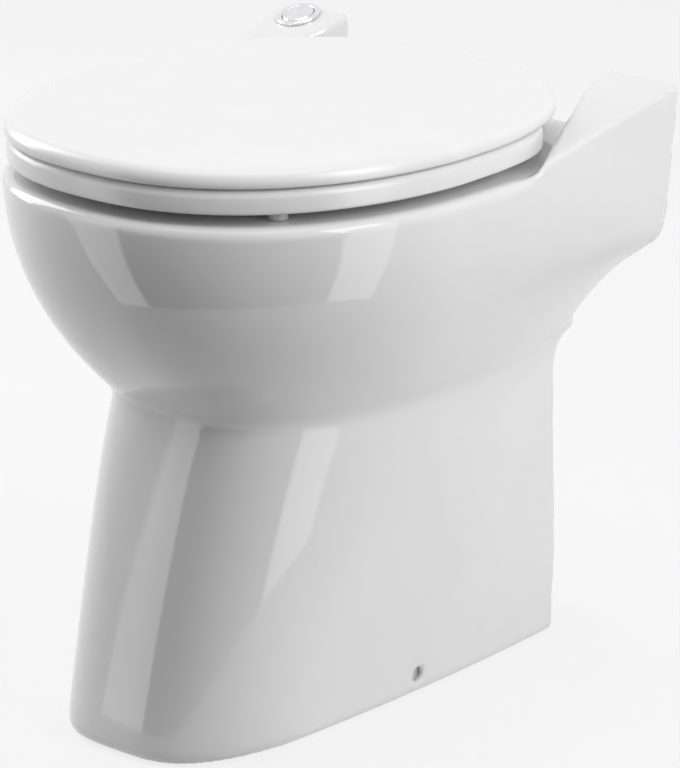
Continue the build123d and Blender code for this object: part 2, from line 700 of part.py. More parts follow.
def bolt_ring(radius, start, end):
    rods = []
    for index in range(CASING_BOLTS):
        angle = 2 * pi * index / CASING_BOLTS
        x = CASING_BOLT_CIRCLE * cos(angle)
        z = PUMP_Z + CASING_BOLT_CIRCLE * sin(angle)
        rods.append(rod("Y", radius, start, end, x, z))
    return rods


def chamber_bolt_holes():
    return bolt_ring(CASING_BOLT_RADIUS + SEALED, CHAMBER_Y, CAN_Y)


def make_pump():
    case = rod("Y", VOLUTE_RADIUS, VOLUTE_Y, VOLUTE_END, 0, PUMP_Z)
    case += rod("Y", FLANGE_RADIUS, VOLUTE_Y, VOLUTE_Y + FLANGE, 0, PUMP_Z)
    case += rod("Y", FLANGE_RADIUS, VOLUTE_END - FLANGE, VOLUTE_END, 0, PUMP_Z)
    inside = PUMP_Z + VOLUTE_BORE / 2
    case += rod("Z", PIPE_RADIUS, inside, NOZZLE_TOP, 0, NOZZLE_Y)
    case = case - rod("Y", VOLUTE_BORE, VOLUTE_Y + VOLUTE_WALL, VOLUTE_END + 1, 0, PUMP_Z)
    case = case - rod("Y", INLET_EYE, VOLUTE_Y - 1, VOLUTE_Y + VOLUTE_WALL + 1, 0, PUMP_Z)
    case = case - rod("Z", PIPE_BORE, inside, NOZZLE_TOP + 1, 0, NOZZLE_Y)
    gaskets = []
    bore = CHAMBER_RADIUS - CHAMBER_WALL
    for start in (CHAMBER_END, VOLUTE_END):
        gaskets.append(tube("Y", CHAMBER_RADIUS, bore, start, start + GASKET, 0, PUMP_Z))
    plate = rod("Y", FLANGE_RADIUS, PLATE_Y, MOTOR_Y, 0, PUMP_Z)
    plate = plate - rod("Y", SHAFT_RADIUS + SEAL_WALL, PLATE_Y - 1, MOTOR_Y + 1, 0, PUMP_Z)
    seal = tube("Y", SHAFT_RADIUS + SEAL_WALL - SEALED, SHAFT_RADIUS + SHAFT_FIT, PLATE_Y, MOTOR_Y, 0, PUMP_Z)
    holes = chamber_bolt_holes()
    bolts = []
    nuts = []
    under = CHAMBER_END - FLANGE
    heads = bolt_ring(CASING_BOLT_RADIUS + 2, under - CASING_HEAD, under)
    shanks = bolt_ring(CASING_BOLT_RADIUS, under - 1, MOTOR_Y + CASING_NUT + 2)
    rings = bolt_ring(CASING_BOLT_RADIUS + 2, MOTOR_Y, MOTOR_Y + CASING_NUT)
    for head, shank, ring in zip(heads, shanks, rings):
        bolts.append(head + shank)
        nuts.append(ring - shank)
    save("pump_casing", case - holes)
    save("casing_gaskets", *gaskets)
    save("seal_plate", plate - holes)
    save("shaft_seal", seal)
    save("casing_bolts", *bolts)
    save("casing_nuts", *nuts)


def make_rotor():
    shaft = rod("Y", SHAFT_RADIUS, SUMP_Y - 20, SHAFT_END, 0, PUMP_Z)
    hub = rod("Y", HUB_RADIUS, SUMP_Y - 12, SUMP_Y + 8, 0, PUMP_Z)
    behind = SUMP_Y + CARRIER_THICKNESS / 2
    ahead = SUMP_Y - CARRIER_THICKNESS / 2
    wide = CARRIER_THICKNESS
    carrier = hub + block(-CARRIER_HALF, CARRIER_HALF, ahead, behind, PUMP_Z - wide, PUMP_Z + wide)
    knives = []
    for side in (-1, 1):
        low, high = sorted((side * HUB_RADIUS / 2, side * KNIFE_RADIUS))
        knife = block(low, high, ahead - KNIFE_THICKNESS, ahead, PUMP_Z - wide + 1, PUMP_Z + wide - 1)
        rivet = rod("Y", RIVET_RADIUS, ahead - KNIFE_THICKNESS - 1, behind, side * RIVET_X, PUMP_Z)
        carrier = carrier - rivet
        knives.append(knife + rivet - hub)
    carrier = carrier - shaft
    ahead = NOZZLE_Y - IMPELLER_HALF
    behind = NOZZLE_Y + IMPELLER_HALF
    impeller = rod("Y", IMPELLER_HUB, ahead, behind, 0, PUMP_Z)
    impeller += rod("Y", IMPELLER_RADIUS, behind - IMPELLER_PLATE, behind, 0, PUMP_Z)
    for index in range(VANES):
        tip = IMPELLER_RADIUS - 2
        vane = block(IMPELLER_HUB - 2, tip, ahead + 5, behind - IMPELLER_PLATE + 0.5, -VANE_HALF, VANE_HALF)
        impeller += Pos(0, 0, PUMP_Z) * Rot(0, 360 / VANES * index, 0) * vane
    impeller = impeller - shaft
    core_radius = MOTOR_RADIUS - CAN_WALL - STATOR_THICKNESS - AIR_GAP
    core = tube("Y", core_radius, SHAFT_RADIUS, CAN_Y + ROTOR_SETBACK, CAN_END - ROTOR_SETBACK, 0, PUMP_Z)
    save("drive_shaft", shaft)
    save("knife_carrier", carrier)
    save("knives", *knives)
    save("impeller", impeller)
    save("motor_rotor", core)


def make_motor():
    front = rod("Y", COVER_RADIUS, MOTOR_Y, CAN_Y, 0, PUMP_Z)
    front = front - rod("Y", SHAFT_RADIUS + 1.5, MOTOR_Y - 1, CAN_Y + 1, 0, PUMP_Z)
    front = front - rod("Y", BEARING_RADIUS + SEALED, CAN_Y - BEARING_WIDTH - 1, CAN_Y + 1, 0, PUMP_Z)
    rear = rod("Y", COVER_RADIUS, CAN_END, CAN_END + COVER_LENGTH, 0, PUMP_Z)
    rear = rear - rod("Y", BEARING_RADIUS + SEALED, CAN_END - 1, CAN_END + BEARING_WIDTH + 1, 0, PUMP_Z)
    bore = MOTOR_RADIUS - CAN_WALL
    can = tube("Y", MOTOR_RADIUS, bore, CAN_Y, CAN_END, 0, PUMP_Z)
    stator_start = CAN_Y + STATOR_SETBACK
    stator_end = CAN_END - STATOR_SETBACK
    stator = tube("Y", bore - SEALED, bore - STATOR_THICKNESS, stator_start, stator_end, 0, PUMP_Z)
    bearings = []
    for start in (CAN_Y - BEARING_WIDTH - BEARING_PLAY, CAN_END + BEARING_PLAY):
        end = start + BEARING_WIDTH
        bearings.append(tube("Y", BEARING_RADIUS, SHAFT_RADIUS + SHAFT_FIT, start, end, 0, PUMP_Z))
    screws = []
    circle = (COVER_RADIUS + MOTOR_RADIUS) / 2
    for angle in (SCREW_ANGLE, 180 - SCREW_ANGLE, 180 + SCREW_ANGLE, -SCREW_ANGLE):
        x = circle * cos(radians(angle))
        z = PUMP_Z + circle * sin(radians(angle))
        end = CAN_END + COVER_LENGTH
        hole = rod("Y", MOTOR_SCREW_RADIUS, MOTOR_Y + 2, end, x, z)
        front = front - hole
        rear = rear - hole
        screws.append(hole + rod("Y", MOTOR_HEAD_RADIUS, end, end + 3, x, z))
    begin = CAN_END - CRADLE_BACK_SET
    end = begin + CRADLE_LENGTH
    cradle = block(-CRADLE_HALF, CRADLE_HALF, begin, end, PAD_HEIGHT, PUMP_Z - CRADLE_DROP)
    cradle = cradle - rod("Y", MOTOR_RADIUS + SEALED, begin - 1, end + 1, 0, PUMP_Z)
    near = FOOT_BLOCK_NEAR - PAD_MARGIN
    far = FOOT_BLOCK_FAR + PAD_MARGIN
    pads = both_sides(block(near, far, CHAMBER_Y + 8, CHAMBER_END - 18, 0, PAD_HEIGHT))
    side = CRADLE_HALF + PAD_MARGIN
    pads.append(block(-side, side, begin - PAD_MARGIN, end + PAD_MARGIN, 0, PAD_HEIGHT))
    save("motor_covers", front, rear)
    save("motor_can", can)
    save("motor_stator", stator)
    save("motor_bearings", *bearings)
    save("motor_screws", *screws)
    save("motor_cradle", cradle)
    save("rubber_pads", *pads)


# Discharge line with its non-return valve

def bent_pipe(radius, past):
    bend_y = NOZZLE_Y + BEND_RADIUS
    bend_z = LINE_Z - BEND_RADIUS
    path = Line((0, NOZZLE_Y, NOZZLE_TOP - past), (0, NOZZLE_Y, bend_z))
    halfway = (0, bend_y - BEND_RADIUS * cos(pi / 4), bend_z + BEND_RADIUS * sin(pi / 4))
    path += ThreePointArc((0, NOZZLE_Y, bend_z), halfway, (0, bend_y, LINE_Z))
    path += Line((0, bend_y, LINE_Z), (0, VALVE_Y - JOINT_HALF - JOINT_GAP + past, LINE_Z))
    return sweep(Plane(origin=(0, NOZZLE_Y, NOZZLE_TOP - past), z_dir=(0, 0, 1)) * Circle(radius), path=path)


def make_discharge():
    elbow = bent_pipe(PIPE_RADIUS, 0)
    low = NOZZLE_TOP - SOCKET_DEPTH
    socket = rod("Z", PIPE_RADIUS + SOCKET_WALL, low, NOZZLE_TOP + 2, 0, NOZZLE_Y)
    elbow = elbow + socket - bent_pipe(PIPE_BORE, 1)
    elbow = elbow - rod("Z", PIPE_RADIUS + SEALED, low - 1, NOZZLE_TOP, 0, NOZZLE_Y)
    outer = PIPE_RADIUS + JOINT_SLEEVE_WALL
    sleeve_start = VALVE_Y - JOINT_SLEEVE_LENGTH
    sleeve = tube("Y", outer, PIPE_RADIUS + SEALED, sleeve_start, VALVE_Y - JOINT_GAP / 2, 0, LINE_Z)
    clamps = []
    for start in (sleeve_start + 1, VALVE_Y - JOINT_BAND - 2):
        end = start + JOINT_BAND
        band = tube("Y", outer + BAND_THICKNESS - SEALED, outer + SEALED, start, end, 0, LINE_Z)
        clamps.append(band + block(-5, 5, start, end, LINE_Z + outer + 0.5, LINE_Z + outer + JOINT_BAND))
    chamber_start = VALVE_Y + VALVE_WALL
    body = rod("Y", VALVE_RADIUS, VALVE_Y, VALVE_END, 0, LINE_Z)
    body += rod("Y", PIPE_RADIUS, VALVE_Y - JOINT_HALF, VALVE_Y + 1, 0, LINE_Z)
    body = body - rod("Y", VALVE_BORE, chamber_start, VALVE_END + 1, 0, LINE_Z)
    body = body - rod("Y", PIPE_BORE, VALVE_Y - JOINT_HALF - 1, chamber_start + 1, 0, LINE_Z)
    pin_half = VALVE_BORE - VALVE_WALL
    pin = rod("X", FLAP_PIN, -pin_half, pin_half, FLAP_Y, FLAP_Z)
    body = body - pin
    flap_front = chamber_start + FLAP_GAP
    flap = rod("Y", FLAP_RADIUS, flap_front, flap_front + FLAP_THICKNESS, 0, LINE_Z)
    ear = block(-EAR_HALF, EAR_HALF, flap_front, FLAP_Y, LINE_Z + FLAP_RADIUS - 6, FLAP_Z)
    ear += rod("X", 2 * FLAP_PIN, -EAR_HALF, EAR_HALF, FLAP_Y, FLAP_Z)
    flap = flap + ear - rod("X", FLAP_PIN + PIN_FIT, -EAR_HALF - 1, EAR_HALF + 1, FLAP_Y, FLAP_Z)
    cap_end = VALVE_END + VALVE_WALL
    cap = tube("Y", VALVE_RADIUS, COLLAR_RADIUS, VALVE_END, cap_end, 0, LINE_Z)
    spigot = tube("Y", PIPE_RADIUS, PIPE_BORE, VALVE_END, PIPE_END, 0, LINE_Z)
    spigot += tube("Y", COLLAR_RADIUS, PIPE_BORE, VALVE_END, cap_end, 0, LINE_Z)
    save("discharge_elbow", elbow)
    save("discharge_sleeve", sleeve)
    save("discharge_clamps", *clamps)
    save("non_return_body", body)
    save("non_return_flap", flap)
    save("non_return_cap", cap)
    save("flap_pin", pin)
    save("discharge_spigot", spigot)


# Control box

def make_control_box():
    floor = PUMP_Z + MOTOR_RADIUS + 4
    back = BOX_FRONT_Y + BOX_LENGTH
    inner = BOX_HALF - BOX_WALL
    box = block(-BOX_HALF, BOX_HALF, BOX_FRONT_Y, back, PUMP_Z + BOX_SKIRT, BOX_TOP)
    box = box - rod("Y", MOTOR_RADIUS + SEALED, BOX_FRONT_Y - 1, back + 1, 0, PUMP_Z)
    box = box - block(-inner, inner, BOX_FRONT_Y + BOX_WALL, back - BOX_WALL, floor, BOX_TOP + 1)
    gland_z = (floor + BOX_TOP) / 2
    screws = []
    cover = block(-BOX_HALF, BOX_HALF, BOX_FRONT_Y, back, BOX_TOP, BOX_TOP + BOX_WALL)
    half = CORNER_POST
    in_set = half + 1
    top = BOX_TOP + BOX_WALL
    for x in (-BOX_HALF + in_set, BOX_HALF - in_set):
        for y in (BOX_FRONT_Y + in_set, back - in_set):
            box += block(x - half, x + half, y - half, y + half, floor - 1, BOX_TOP)
            screw = rod("Z", LID_SCREW_RADIUS, BOX_TOP - 10, top + 1, x, y)
            box = box - screw
            cover = cover - screw
            screws.append(screw + rod("Z", 2 * LID_SCREW_RADIUS, top, top + 2, x, y))
    board_z = floor + STANDOFF
    board_front = BOX_FRONT_Y + BOARD_MARGIN
    for x in (-BOARD_HALF + 3, BOARD_HALF - 3):
        for y in (board_front + 4, back - BOARD_MARGIN - 4):
            box += rod("Z", STANDOFF_RADIUS, floor - 1, board_z, x, y)
    box = box - rod("Y", GLAND_HOLE, back - 2 * BOX_WALL, back + 1, GLAND_X, gland_z)
    board_back = back - BOARD_MARGIN
    board = block(-BOARD_HALF, BOARD_HALF, board_front, board_back, board_z, board_z + BOARD_THICKNESS)
    board += block(-20, -2, board_front + 8, board_front + 24, board_z + 1, board_z + 14)
    board += rod("Z", 8, board_z + 1, board_z + 22, 14, board_front + 30)
    gland = rod("Y", GLAND_HOLE - SEALED, back - BOX_WALL, back + 2, GLAND_X, gland_z)
    gland += rod("Y", GLAND_RADIUS, back, back + 6, GLAND_X, gland_z)
    gland += rod("Y", GLAND_NECK, back + 6, back + 14, GLAND_X, gland_z)
    gland = gland - rod("Y", GLAND_BORE, back - 3 * BOX_WALL, back + 15, GLAND_X, gland_z)
    save("control_box", box)
    save("control_lid", cover)
    save("control_screws", *screws)
    save("control_board", board)
    save("cable_gland", gland)


# Rinse water

def make_rinse():
    x = RINSE_X
    end = RINSE_Y + BRACKET_LENGTH
    low = RINSE_LOW - BRACKET_SHEET
    bracket = block(BOX_HALF, BOX_HALF + BRACKET_SHEET, RINSE_Y, end, low, RINSE_LOW + BRACKET_RISE)
    bracket += block(BOX_HALF, x + VALVE_BLOCK / 2 + VALVE_BLOCK_GAP, RINSE_Y, end, low, RINSE_LOW)
    back = RINSE_Y + VALVE_BLOCK_LENGTH
    middle = RINSE_LOW + VALVE_BLOCK / 2
    top = RINSE_LOW + VALVE_BLOCK
    core_top = top + COIL_HEIGHT - 2
    body = block(x - VALVE_BLOCK / 2, x + VALVE_BLOCK / 2, RINSE_Y, back, RINSE_LOW, top)
    outlet_y = RINSE_Y + TAIL_SETBACK
    coil_y = back - COIL_RADIUS - 2
    body += rod("Z", TAIL_RADIUS, top - 2, top + TAIL_LENGTH, x, outlet_y)
    body += tube("Z", CORE_RADIUS, PLUNGER_RADIUS + SEALED, top - 1, top + COIL_HEIGHT, x, coil_y)
    body = body - rod("Z", PLUNGER_RADIUS + SEALED, top - CORE_SINK, core_top, x, coil_y)
    body = body - rod("Z", TAIL_BORE, middle, top + TAIL_LENGTH + 1, x, outlet_y)
    body = body - rod("Y", 2 * TAIL_BORE, (coil_y + outlet_y) / 2, back + 1, x, middle)
    coil = tube("Z", COIL_RADIUS, CORE_RADIUS + SEALED, top, core_top, x, coil_y)
    plunger = rod("Z", PLUNGER_RADIUS, top - CORE_SINK + SEALED, core_top - PLUNGER_TRAVEL - 1, x, coil_y)
    inlet = rod("Y", INLET_RADIUS, back + INLET_COLLAR, back + INLET_LENGTH, x, middle)
    inlet += rod("Y", INLET_RADIUS + 1.4, back, back + INLET_COLLAR + 1, x, middle)
    inlet = inlet - rod("Y", INLET_BORE, back - 1, back + INLET_LENGTH + 1, x, middle)
    turn_y = NOZZLE_END + 34
    route = [(x, outlet_y, top + HOSE_GAP), (x, outlet_y, top + 52), (x, NOZZLE_END + 20, NOZZLE_Z - 96),
             (x - 8, turn_y, NOZZLE_Z - 34), (0, turn_y, NOZZLE_Z), (0, NOZZLE_END + HOSE_GAP, NOZZLE_Z)]
    hose = hose_along(route, HOSE_RADIUS, TAIL_RADIUS + SEALED / 2)
    nozzle = tube("Y", NOZZLE_RADIUS, TAIL_BORE, NOZZLE_START, NOZZLE_END, 0, NOZZLE_Z)
    nozzle += tube("Y", TAIL_RADIUS, TAIL_BORE, NOZZLE_END - 1, NOZZLE_END + NOZZLE_TAIL, 0, NOZZLE_Z)
    nozzle += rod("Y", NOZZLE_RADIUS + 2, NOZZLE_START - NOZZLE_HEAD, NOZZLE_START, 0, NOZZLE_Z)
    for angle in (-JET_ANGLE, 0, JET_ANGLE):
        jet = Pos(0, NOZZLE_START - 2, NOZZLE_Z) * Rot(0, angle, 0) * Pos(0, 0, -6) * Cylinder(JET_RADIUS, 12)
        nozzle = nozzle - jet
    nozzle = nozzle - rod("Y", TAIL_BORE, NOZZLE_START - 3, NOZZLE_START + 1, 0, NOZZLE_Z)
    save("valve_bracket", bracket)
    save("rinse_valve_body", body)
    save("rinse_valve_coil", coil)
    save("rinse_valve_plunger", plunger)
    save("water_inlet", inlet)
    save("rinse_hose", hose)
    save("rinse_nozzle", nozzle)


def hose_along(route, radius, bore):
    """A hose of straight runs joined by tangent arcs."""
    runs = [(Vector(*b) - Vector(*a)) for a, b in zip(route, route[1:])]
    radii = []
    for ahead, after in zip(runs, runs[1:]):
        turn = ahead.get_angle(after) * pi / 180
        radii.append(0.45 * min(ahead.length, after.length) / (sin(turn / 2) / cos(turn / 2)))
    print("hose radii", [round(r, 1) for r in radii])
    path = FilletPolyline(*route, radius=radii)
    start = Plane(origin=route[0], z_dir=runs[0])
    outside = sweep(start * Circle(radius), path=path)
    if not bore:
        return outside
    return outside - sweep(start * Circle(bore), path=path)


def make_lead():
    """The two-core lead from the flush button's switch to the control box."""
    start = BUTTON_PLANE.from_local_coords(Vector(0, 0, -SLEEVE_DEPTH - SWITCH_LENGTH))
    first = BUTTON_PLANE.from_local_coords(Vector(0, 0, -SLEEVE_DEPTH - SWITCH_LENGTH - 28))
    end = (-BOX_HALF, BOX_FRONT_Y + 30, BOX_TOP - 14)
    inner_x = -TROUGH_BACK_HALF + 12
    route = [tuple(start), tuple(first), (inner_x, BACK_Y - 45, HEIGHT - 142)]
    route += [(inner_x + 44, BACK_Y - 65, CREASE_HEIGHT + 3), (end[0] - 28, end[1] + 16, BOX_TOP + 8)]
    route += [(end[0] - 14, end[1], end[2]), end]
    save("switch_lead", hose_along(route, LEAD_RADIUS, 0))


# Floor brackets and their side screws

def make_brackets():
    face = BRACKET_FACE
    near = HOLE_Y - BRACKET_WIDTH / 2
    far = HOLE_Y + BRACKET_WIDTH / 2
    bracket = block(face - BRACKET_FOOT, face, near, far, 0, BRACKET_THICKNESS)
    bracket += block(face - BRACKET_THICKNESS, face, near, far, 0, BRACKET_HEIGHT)
    screw = rod("X", SIDE_SCREW_RADIUS, face - SIDE_SCREW_TIP, SIDE_HEAD, HOLE_Y, HOLE_HEIGHT)
    bracket = bracket - screw
    hole_x = face - FLOOR_HOLE_INSET
    bracket = bracket - rod("Z", FLOOR_HOLE_RADIUS, -1, BRACKET_THICKNESS + 1, hole_x, HOLE_Y)
    screw += rod("X", SIDE_HEAD_RADIUS, SIDE_HEAD - SIDE_HEAD_LENGTH, SIDE_HEAD, HOLE_Y, HOLE_HEIGHT)
    save("floor_brackets", *both_sides(bracket))
    save("side_screws", *both_sides(screw))


# Places worked out from the sizes
RIM_WIDEST_Y = FRONT_Y + RIM_WIDEST
LID_NOSE = FRONT_Y + LID_OVERHANG
LID_BACK_Y = BACK_Y - LID_BACK_GAP
HINGE_X = HINGE_SPACING / 2
HINGE_Y = LID_BACK_Y - HINGE_BACK_SET
HINGE_Z = RIM_HEIGHT + HINGE_HEIGHT
SEAT_LOW = RIM_HEIGHT + SEAT_LIFT
LID_LOW = SEAT_LOW + SEAT_THICKNESS + LID_GAP
RAMP_ANGLE = atan(RAMP_SLOPE)
BUTTON_Y = BACK_Y - BUTTON_BACK_SET
BUTTON_PLANE = Plane(origin=(BUTTON_X, BUTTON_Y, HEIGHT - RAMP_SLOPE * BUTTON_BACK_SET),
                     x_dir=(1, 0, 0), z_dir=(0, -sin(RAMP_ANGLE), cos(RAMP_ANGLE)))
CHAMBER_Y = SUMP_Y - CHAMBER_AHEAD
CHAMBER_END = CHAMBER_Y + CHAMBER_LENGTH
VOLUTE_Y = CHAMBER_END + GASKET
VOLUTE_END = VOLUTE_Y + VOLUTE_LENGTH
NOZZLE_Y = (VOLUTE_Y + VOLUTE_END) / 2
PLATE_Y = VOLUTE_END + GASKET
MOTOR_Y = PLATE_Y + FLANGE
CAN_Y = MOTOR_Y + COVER_LENGTH
CAN_END = CAN_Y + MOTOR_LENGTH
SHAFT_END = CAN_END + BEARING_WIDTH
VALVE_Y = NOZZLE_Y + BEND_RADIUS + ELBOW_RUN
VALVE_END = VALVE_Y + VALVE_LENGTH
FLAP_Y = VALVE_Y + FLAP_PIN_BACK
FLAP_Z = LINE_Z + FLAP_PIN_RISE
PIPE_END = FOOT_BACK_Y - PIPE_END_GAP
BOX_FRONT_Y = MOTOR_Y + BOX_SETBACK
RINSE_X = BOX_HALF + VALVE_BLOCK / 2 + VALVE_BLOCK_GAP
RINSE_Y = BOX_FRONT_Y + VALVE_BLOCK_SETBACK
RINSE_LOW = PUMP_Z + VALVE_BLOCK_LIFT
NOZZLE_Z = RIM_HEIGHT - NOZZLE_DROP
NOZZLE_START = FRONT_Y + BASIN_SETBACK + BASIN_LENGTH - 8
NOZZLE_END = NOZZLE_START + NOZZLE_LENGTH
HOLE_Y = FRONT_Y + HOLE_FROM_FRONT

china = make_china()
print("china solids", len(china.solids()), "valid", china.is_valid, "litres", round(china.volume / 1e6, 2))
save("china_pan", china)
save("seat_ring", make_seat())
save("lid", make_lid())
make_buffers()
make_hinges()
make_button()
make_chamber()
make_pump()
make_rotor()
make_motor()
make_discharge()
make_control_box()
make_rinse()
make_lead()
make_brackets()
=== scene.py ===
import json
import math

import bpy
import numpy as np
from mathutils import Matrix, Vector


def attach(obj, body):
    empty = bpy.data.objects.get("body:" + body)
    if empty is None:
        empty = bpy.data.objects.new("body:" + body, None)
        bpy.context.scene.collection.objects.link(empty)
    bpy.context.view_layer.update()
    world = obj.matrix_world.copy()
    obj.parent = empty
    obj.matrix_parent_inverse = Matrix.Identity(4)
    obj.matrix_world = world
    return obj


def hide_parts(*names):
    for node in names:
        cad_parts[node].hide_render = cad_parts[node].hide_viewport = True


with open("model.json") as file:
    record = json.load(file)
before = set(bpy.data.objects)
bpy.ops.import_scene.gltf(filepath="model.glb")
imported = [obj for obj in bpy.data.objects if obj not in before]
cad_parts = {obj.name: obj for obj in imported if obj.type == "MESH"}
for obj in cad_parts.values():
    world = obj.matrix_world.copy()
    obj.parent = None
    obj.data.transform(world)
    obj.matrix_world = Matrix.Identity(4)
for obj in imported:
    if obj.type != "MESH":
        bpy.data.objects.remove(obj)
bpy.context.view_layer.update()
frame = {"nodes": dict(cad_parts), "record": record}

# Shapes are worked out in millimetres and written to meshes in metres.
MM = 0.001

# Main lines of the china, as in the frame
DEPTH = 430.0
WIDTH = 400.0
HEIGHT = 460.0
RIM = 413.0
CREASE = 245.0
FOOT = 15.0
FRONT = -DEPTH / 2
FOOT_BACK = DEPTH / 2
BACK = FOOT_BACK - 12.0
WALL = 10.0
DECK = 12.0
RAMP_SLOPE = 0.2924
SOFT_EDGE = 0.35
CREASE_SPREAD = 5
SIDE_SPREAD = 2
LIP_HEIGHT = 257.0
LIP_OUT = 4.0
LIP_SPREAD = 5.0

# Holes and hollows of the china
OUTLET_Y = -70.0
OUTLET_BORE = 32.0
OUTLET_LOW = 160.0
NECK_RADIUS = 40.0
NECK_LOW = 168.0
NECK_HIGH = 230.0
BASIN_FLOOR = 200.0
BASIN_FOOT = 34.0
BUTTON_X = -168.0
BUTTON_AHEAD = 17.0
BUTTON_BORE = 14.0
BUTTON_HOLE_REACH = 30.0
HOLE_RADIUS = 6.0
HINGE_BOLT_X = 77.5
HINGE_BOLT_Y = 175.0
HINGE_HOLE_LOW = 380.0
FIXING_Y = 44.0
FIXING_Z = 16.0
FIXING_FROM_X = 60.0
NOZZLE_DROP = 25.0
NOZZLE_BORE = 7.2
NOZZLE_FROM_Y = 60.0


# Small tools for shapes

def step_between(low, high, value):
    share = np.clip((value - low) / (high - low), 0.0, 1.0)
    return share * share * (3 - 2 * share)


def curve_through(points, value):
    """A smooth curve through set points, flat beyond both ends."""
    at = np.array([p[0] for p in points], float)
    to = np.array([p[1] for p in points], float)
    slopes = np.gradient(to, at)
    value = np.clip(value, at[0], at[-1])
    i = np.clip(np.searchsorted(at, value) - 1, 0, len(at) - 2)
    width = at[i + 1] - at[i]
    t = (value - at[i]) / width
    first = (1 + 2 * t) * (1 - t) ** 2 * to[i] + t * (1 - t) ** 2 * width * slopes[i]
    return first + t * t * (3 - 2 * t) * to[i + 1] + t * t * (t - 1) * width * slopes[i + 1]


def meet(a, b, radius):
    """Where two forms overlap, with the edge between them rounded."""
    corner = np.hypot(np.maximum(a + radius, 0), np.maximum(b + radius, 0))
    return np.minimum(np.maximum(a, b), -radius) + corner


def join(a, b, radius):
    """Two forms joined, with a rounded hollow between them."""
    return -meet(-a, -b, radius)


def depth_of(level, points):
    """Distance to the zero of a level function, from its slope."""
    here = level(points)
    reach = 0.5
    slope = np.zeros(len(points))
    for axis in range(3):
        moved = points.copy()
        moved[:, axis] += reach
        slope += ((level(moved) - here) / reach) ** 2
    return here / np.maximum(np.sqrt(slope), 1e-4)


def rod_depth(points, axis, radius, centre):
    """Distance to an endless round rod along one axis."""
    others = [i for i in range(3) if i != axis]
    across = points[:, others[0]] - centre[0]
    along = points[:, others[1]] - centre[1]
    return np.hypot(across, along) - radius


# The china's outer form

def mixed(first, second, share):
    """Values part of the way from one set to another."""
    return [a + (b - a) * share for a, b in zip(first, second)]


def outline_at(height):
    """Nose, widest place, half width and the two powers of the plan outline at a height."""
    rim = (FRONT, FRONT + 207.0, 182.5, 2.14, 2.31)
    crease = (FRONT + 84.0, FRONT + 232.0, 114.5, 1.7, 3.3)
    foot = (FRONT + 22.5, FRONT + 138.0, 89.5, 1.95, 3.4)
    if height >= CREASE:
        down = max(0.0, (RIM - height) / (RIM - CREASE))
        return mixed(rim, crease, down ** 2.1)
    return mixed(crease, foot, min(1.0, (CREASE - height) / (CREASE - FOOT)) ** 0.8)


def back_half_at(height):
    """Half width at the back plane."""
    side = [(0, 71.5), (20, 72), (67, 76), (114, 77.5), (194, 79.5), (228, 82), (240, 86),
            (250, 93), (261, 98), (278, 111), (298, 129), (315, 148), (329.5, 168.6), (338.7, 181), (348, 187), (363, 190.5),
            (390, 193.3), (416.6, 195.8), (443.8, 199), (458, 200), (470, 200)]
    return curve_through(side, height)


def softened(values, spread):
    """Evens out a profile sampled every millimetre."""
    reach = 3 * spread
    kernel = np.exp(-0.5 * (np.arange(-reach, reach + 1) / spread) ** 2)
    kernel /= kernel.sum()
    padded = np.pad(values, reach, mode="reflect", reflect_type="odd")
    return np.convolve(padded, kernel, mode="valid")


HEIGHTS = np.arange(-20.0, HEIGHT + 30.0)
PROFILE = np.array([outline_at(max(h, 0.0)) for h in HEIGHTS]).T
PROFILE = np.array([softened(row, CREASE_SPREAD) for row in PROFILE])
BACK_HALF = softened(back_half_at(HEIGHTS), SIDE_SPREAD)


def body_level(points):
    """Bowl and pedestal in one: below zero inside, without a top or a foot."""
    x, y, z = points[:, 0], points[:, 1], points[:, 2]
    nose, widest, half, nose_power, side_power = [np.interp(z, HEIGHTS, row) for row in PROFILE]
    back_half = np.interp(z, HEIGHTS, BACK_HALF)
    back = BACK + (FOOT_BACK - BACK) * np.clip(1 - z / CREASE, 0, 1)
    behind = np.clip((y - widest) / (back - widest), 0, 1.3)
    width = half + (back_half - half) * behind ** 2
    lip = LIP_OUT * np.exp(-((z - LIP_HEIGHT) / LIP_SPREAD) ** 2) * step_between(0.75, 1.0, behind)
    ahead = np.clip((widest - y) / (widest - nose), 0, None)
    side = (np.abs(x) / (width + lip)) ** side_power
    return (side + ahead ** nose_power) ** (1 / side_power) - 1


def trough_depth(points, grow):
    """Below zero between the shoulders, above the deck."""
    edge = [(-30.0, 194), (3, 194), (38, 190), (71, 181), (95, 170), (123, 157), (155, 143), (173, 135),
            (203, 130), (235, 127)]
    x, y = points[:, 0], points[:, 1]
    half = curve_through(edge, y) + grow
    return (np.abs(x) - half) * 0.93


def top_depth(points, drop, grow, floor_round, edge_round):
    """Below zero under the rim plane, and under the shoulders' ramps outside the trough."""
    y, z = points[:, 1], points[:, 2]
    ramp = (z - (HEIGHT - RAMP_SLOPE * (BACK - y))) / math.hypot(1, RAMP_SLOPE) + drop
    shoulder = meet(ramp, -trough_depth(points, grow), edge_round)
    return join(z - (RIM - drop), shoulder, floor_round)


def basin_level(points):
    """The bowl's inside, narrowing from the rim to the outlet."""
    x, y, z = points[:, 0], points[:, 1], points[:, 2]
    down = np.clip((RIM - z) / (RIM - BASIN_FLOOR), 0, 1.2)
    form = [(0.0, 1.0), (0.1, 0.985), (0.3, 0.93), (0.57, 0.66), (0.81, 0.22), (0.93, 0.06),
            (1.0, 0.0), (1.2, 0.0)]
    share = np.maximum(curve_through(form, down), 0.0)
    middle = OUTLET_Y + 38.0 * share ** 1.4
    along = BASIN_FOOT + 102.0 * share
    across = BASIN_FOOT + 101.0 * share
    return np.hypot(x / across, (y - middle) / along) - 1


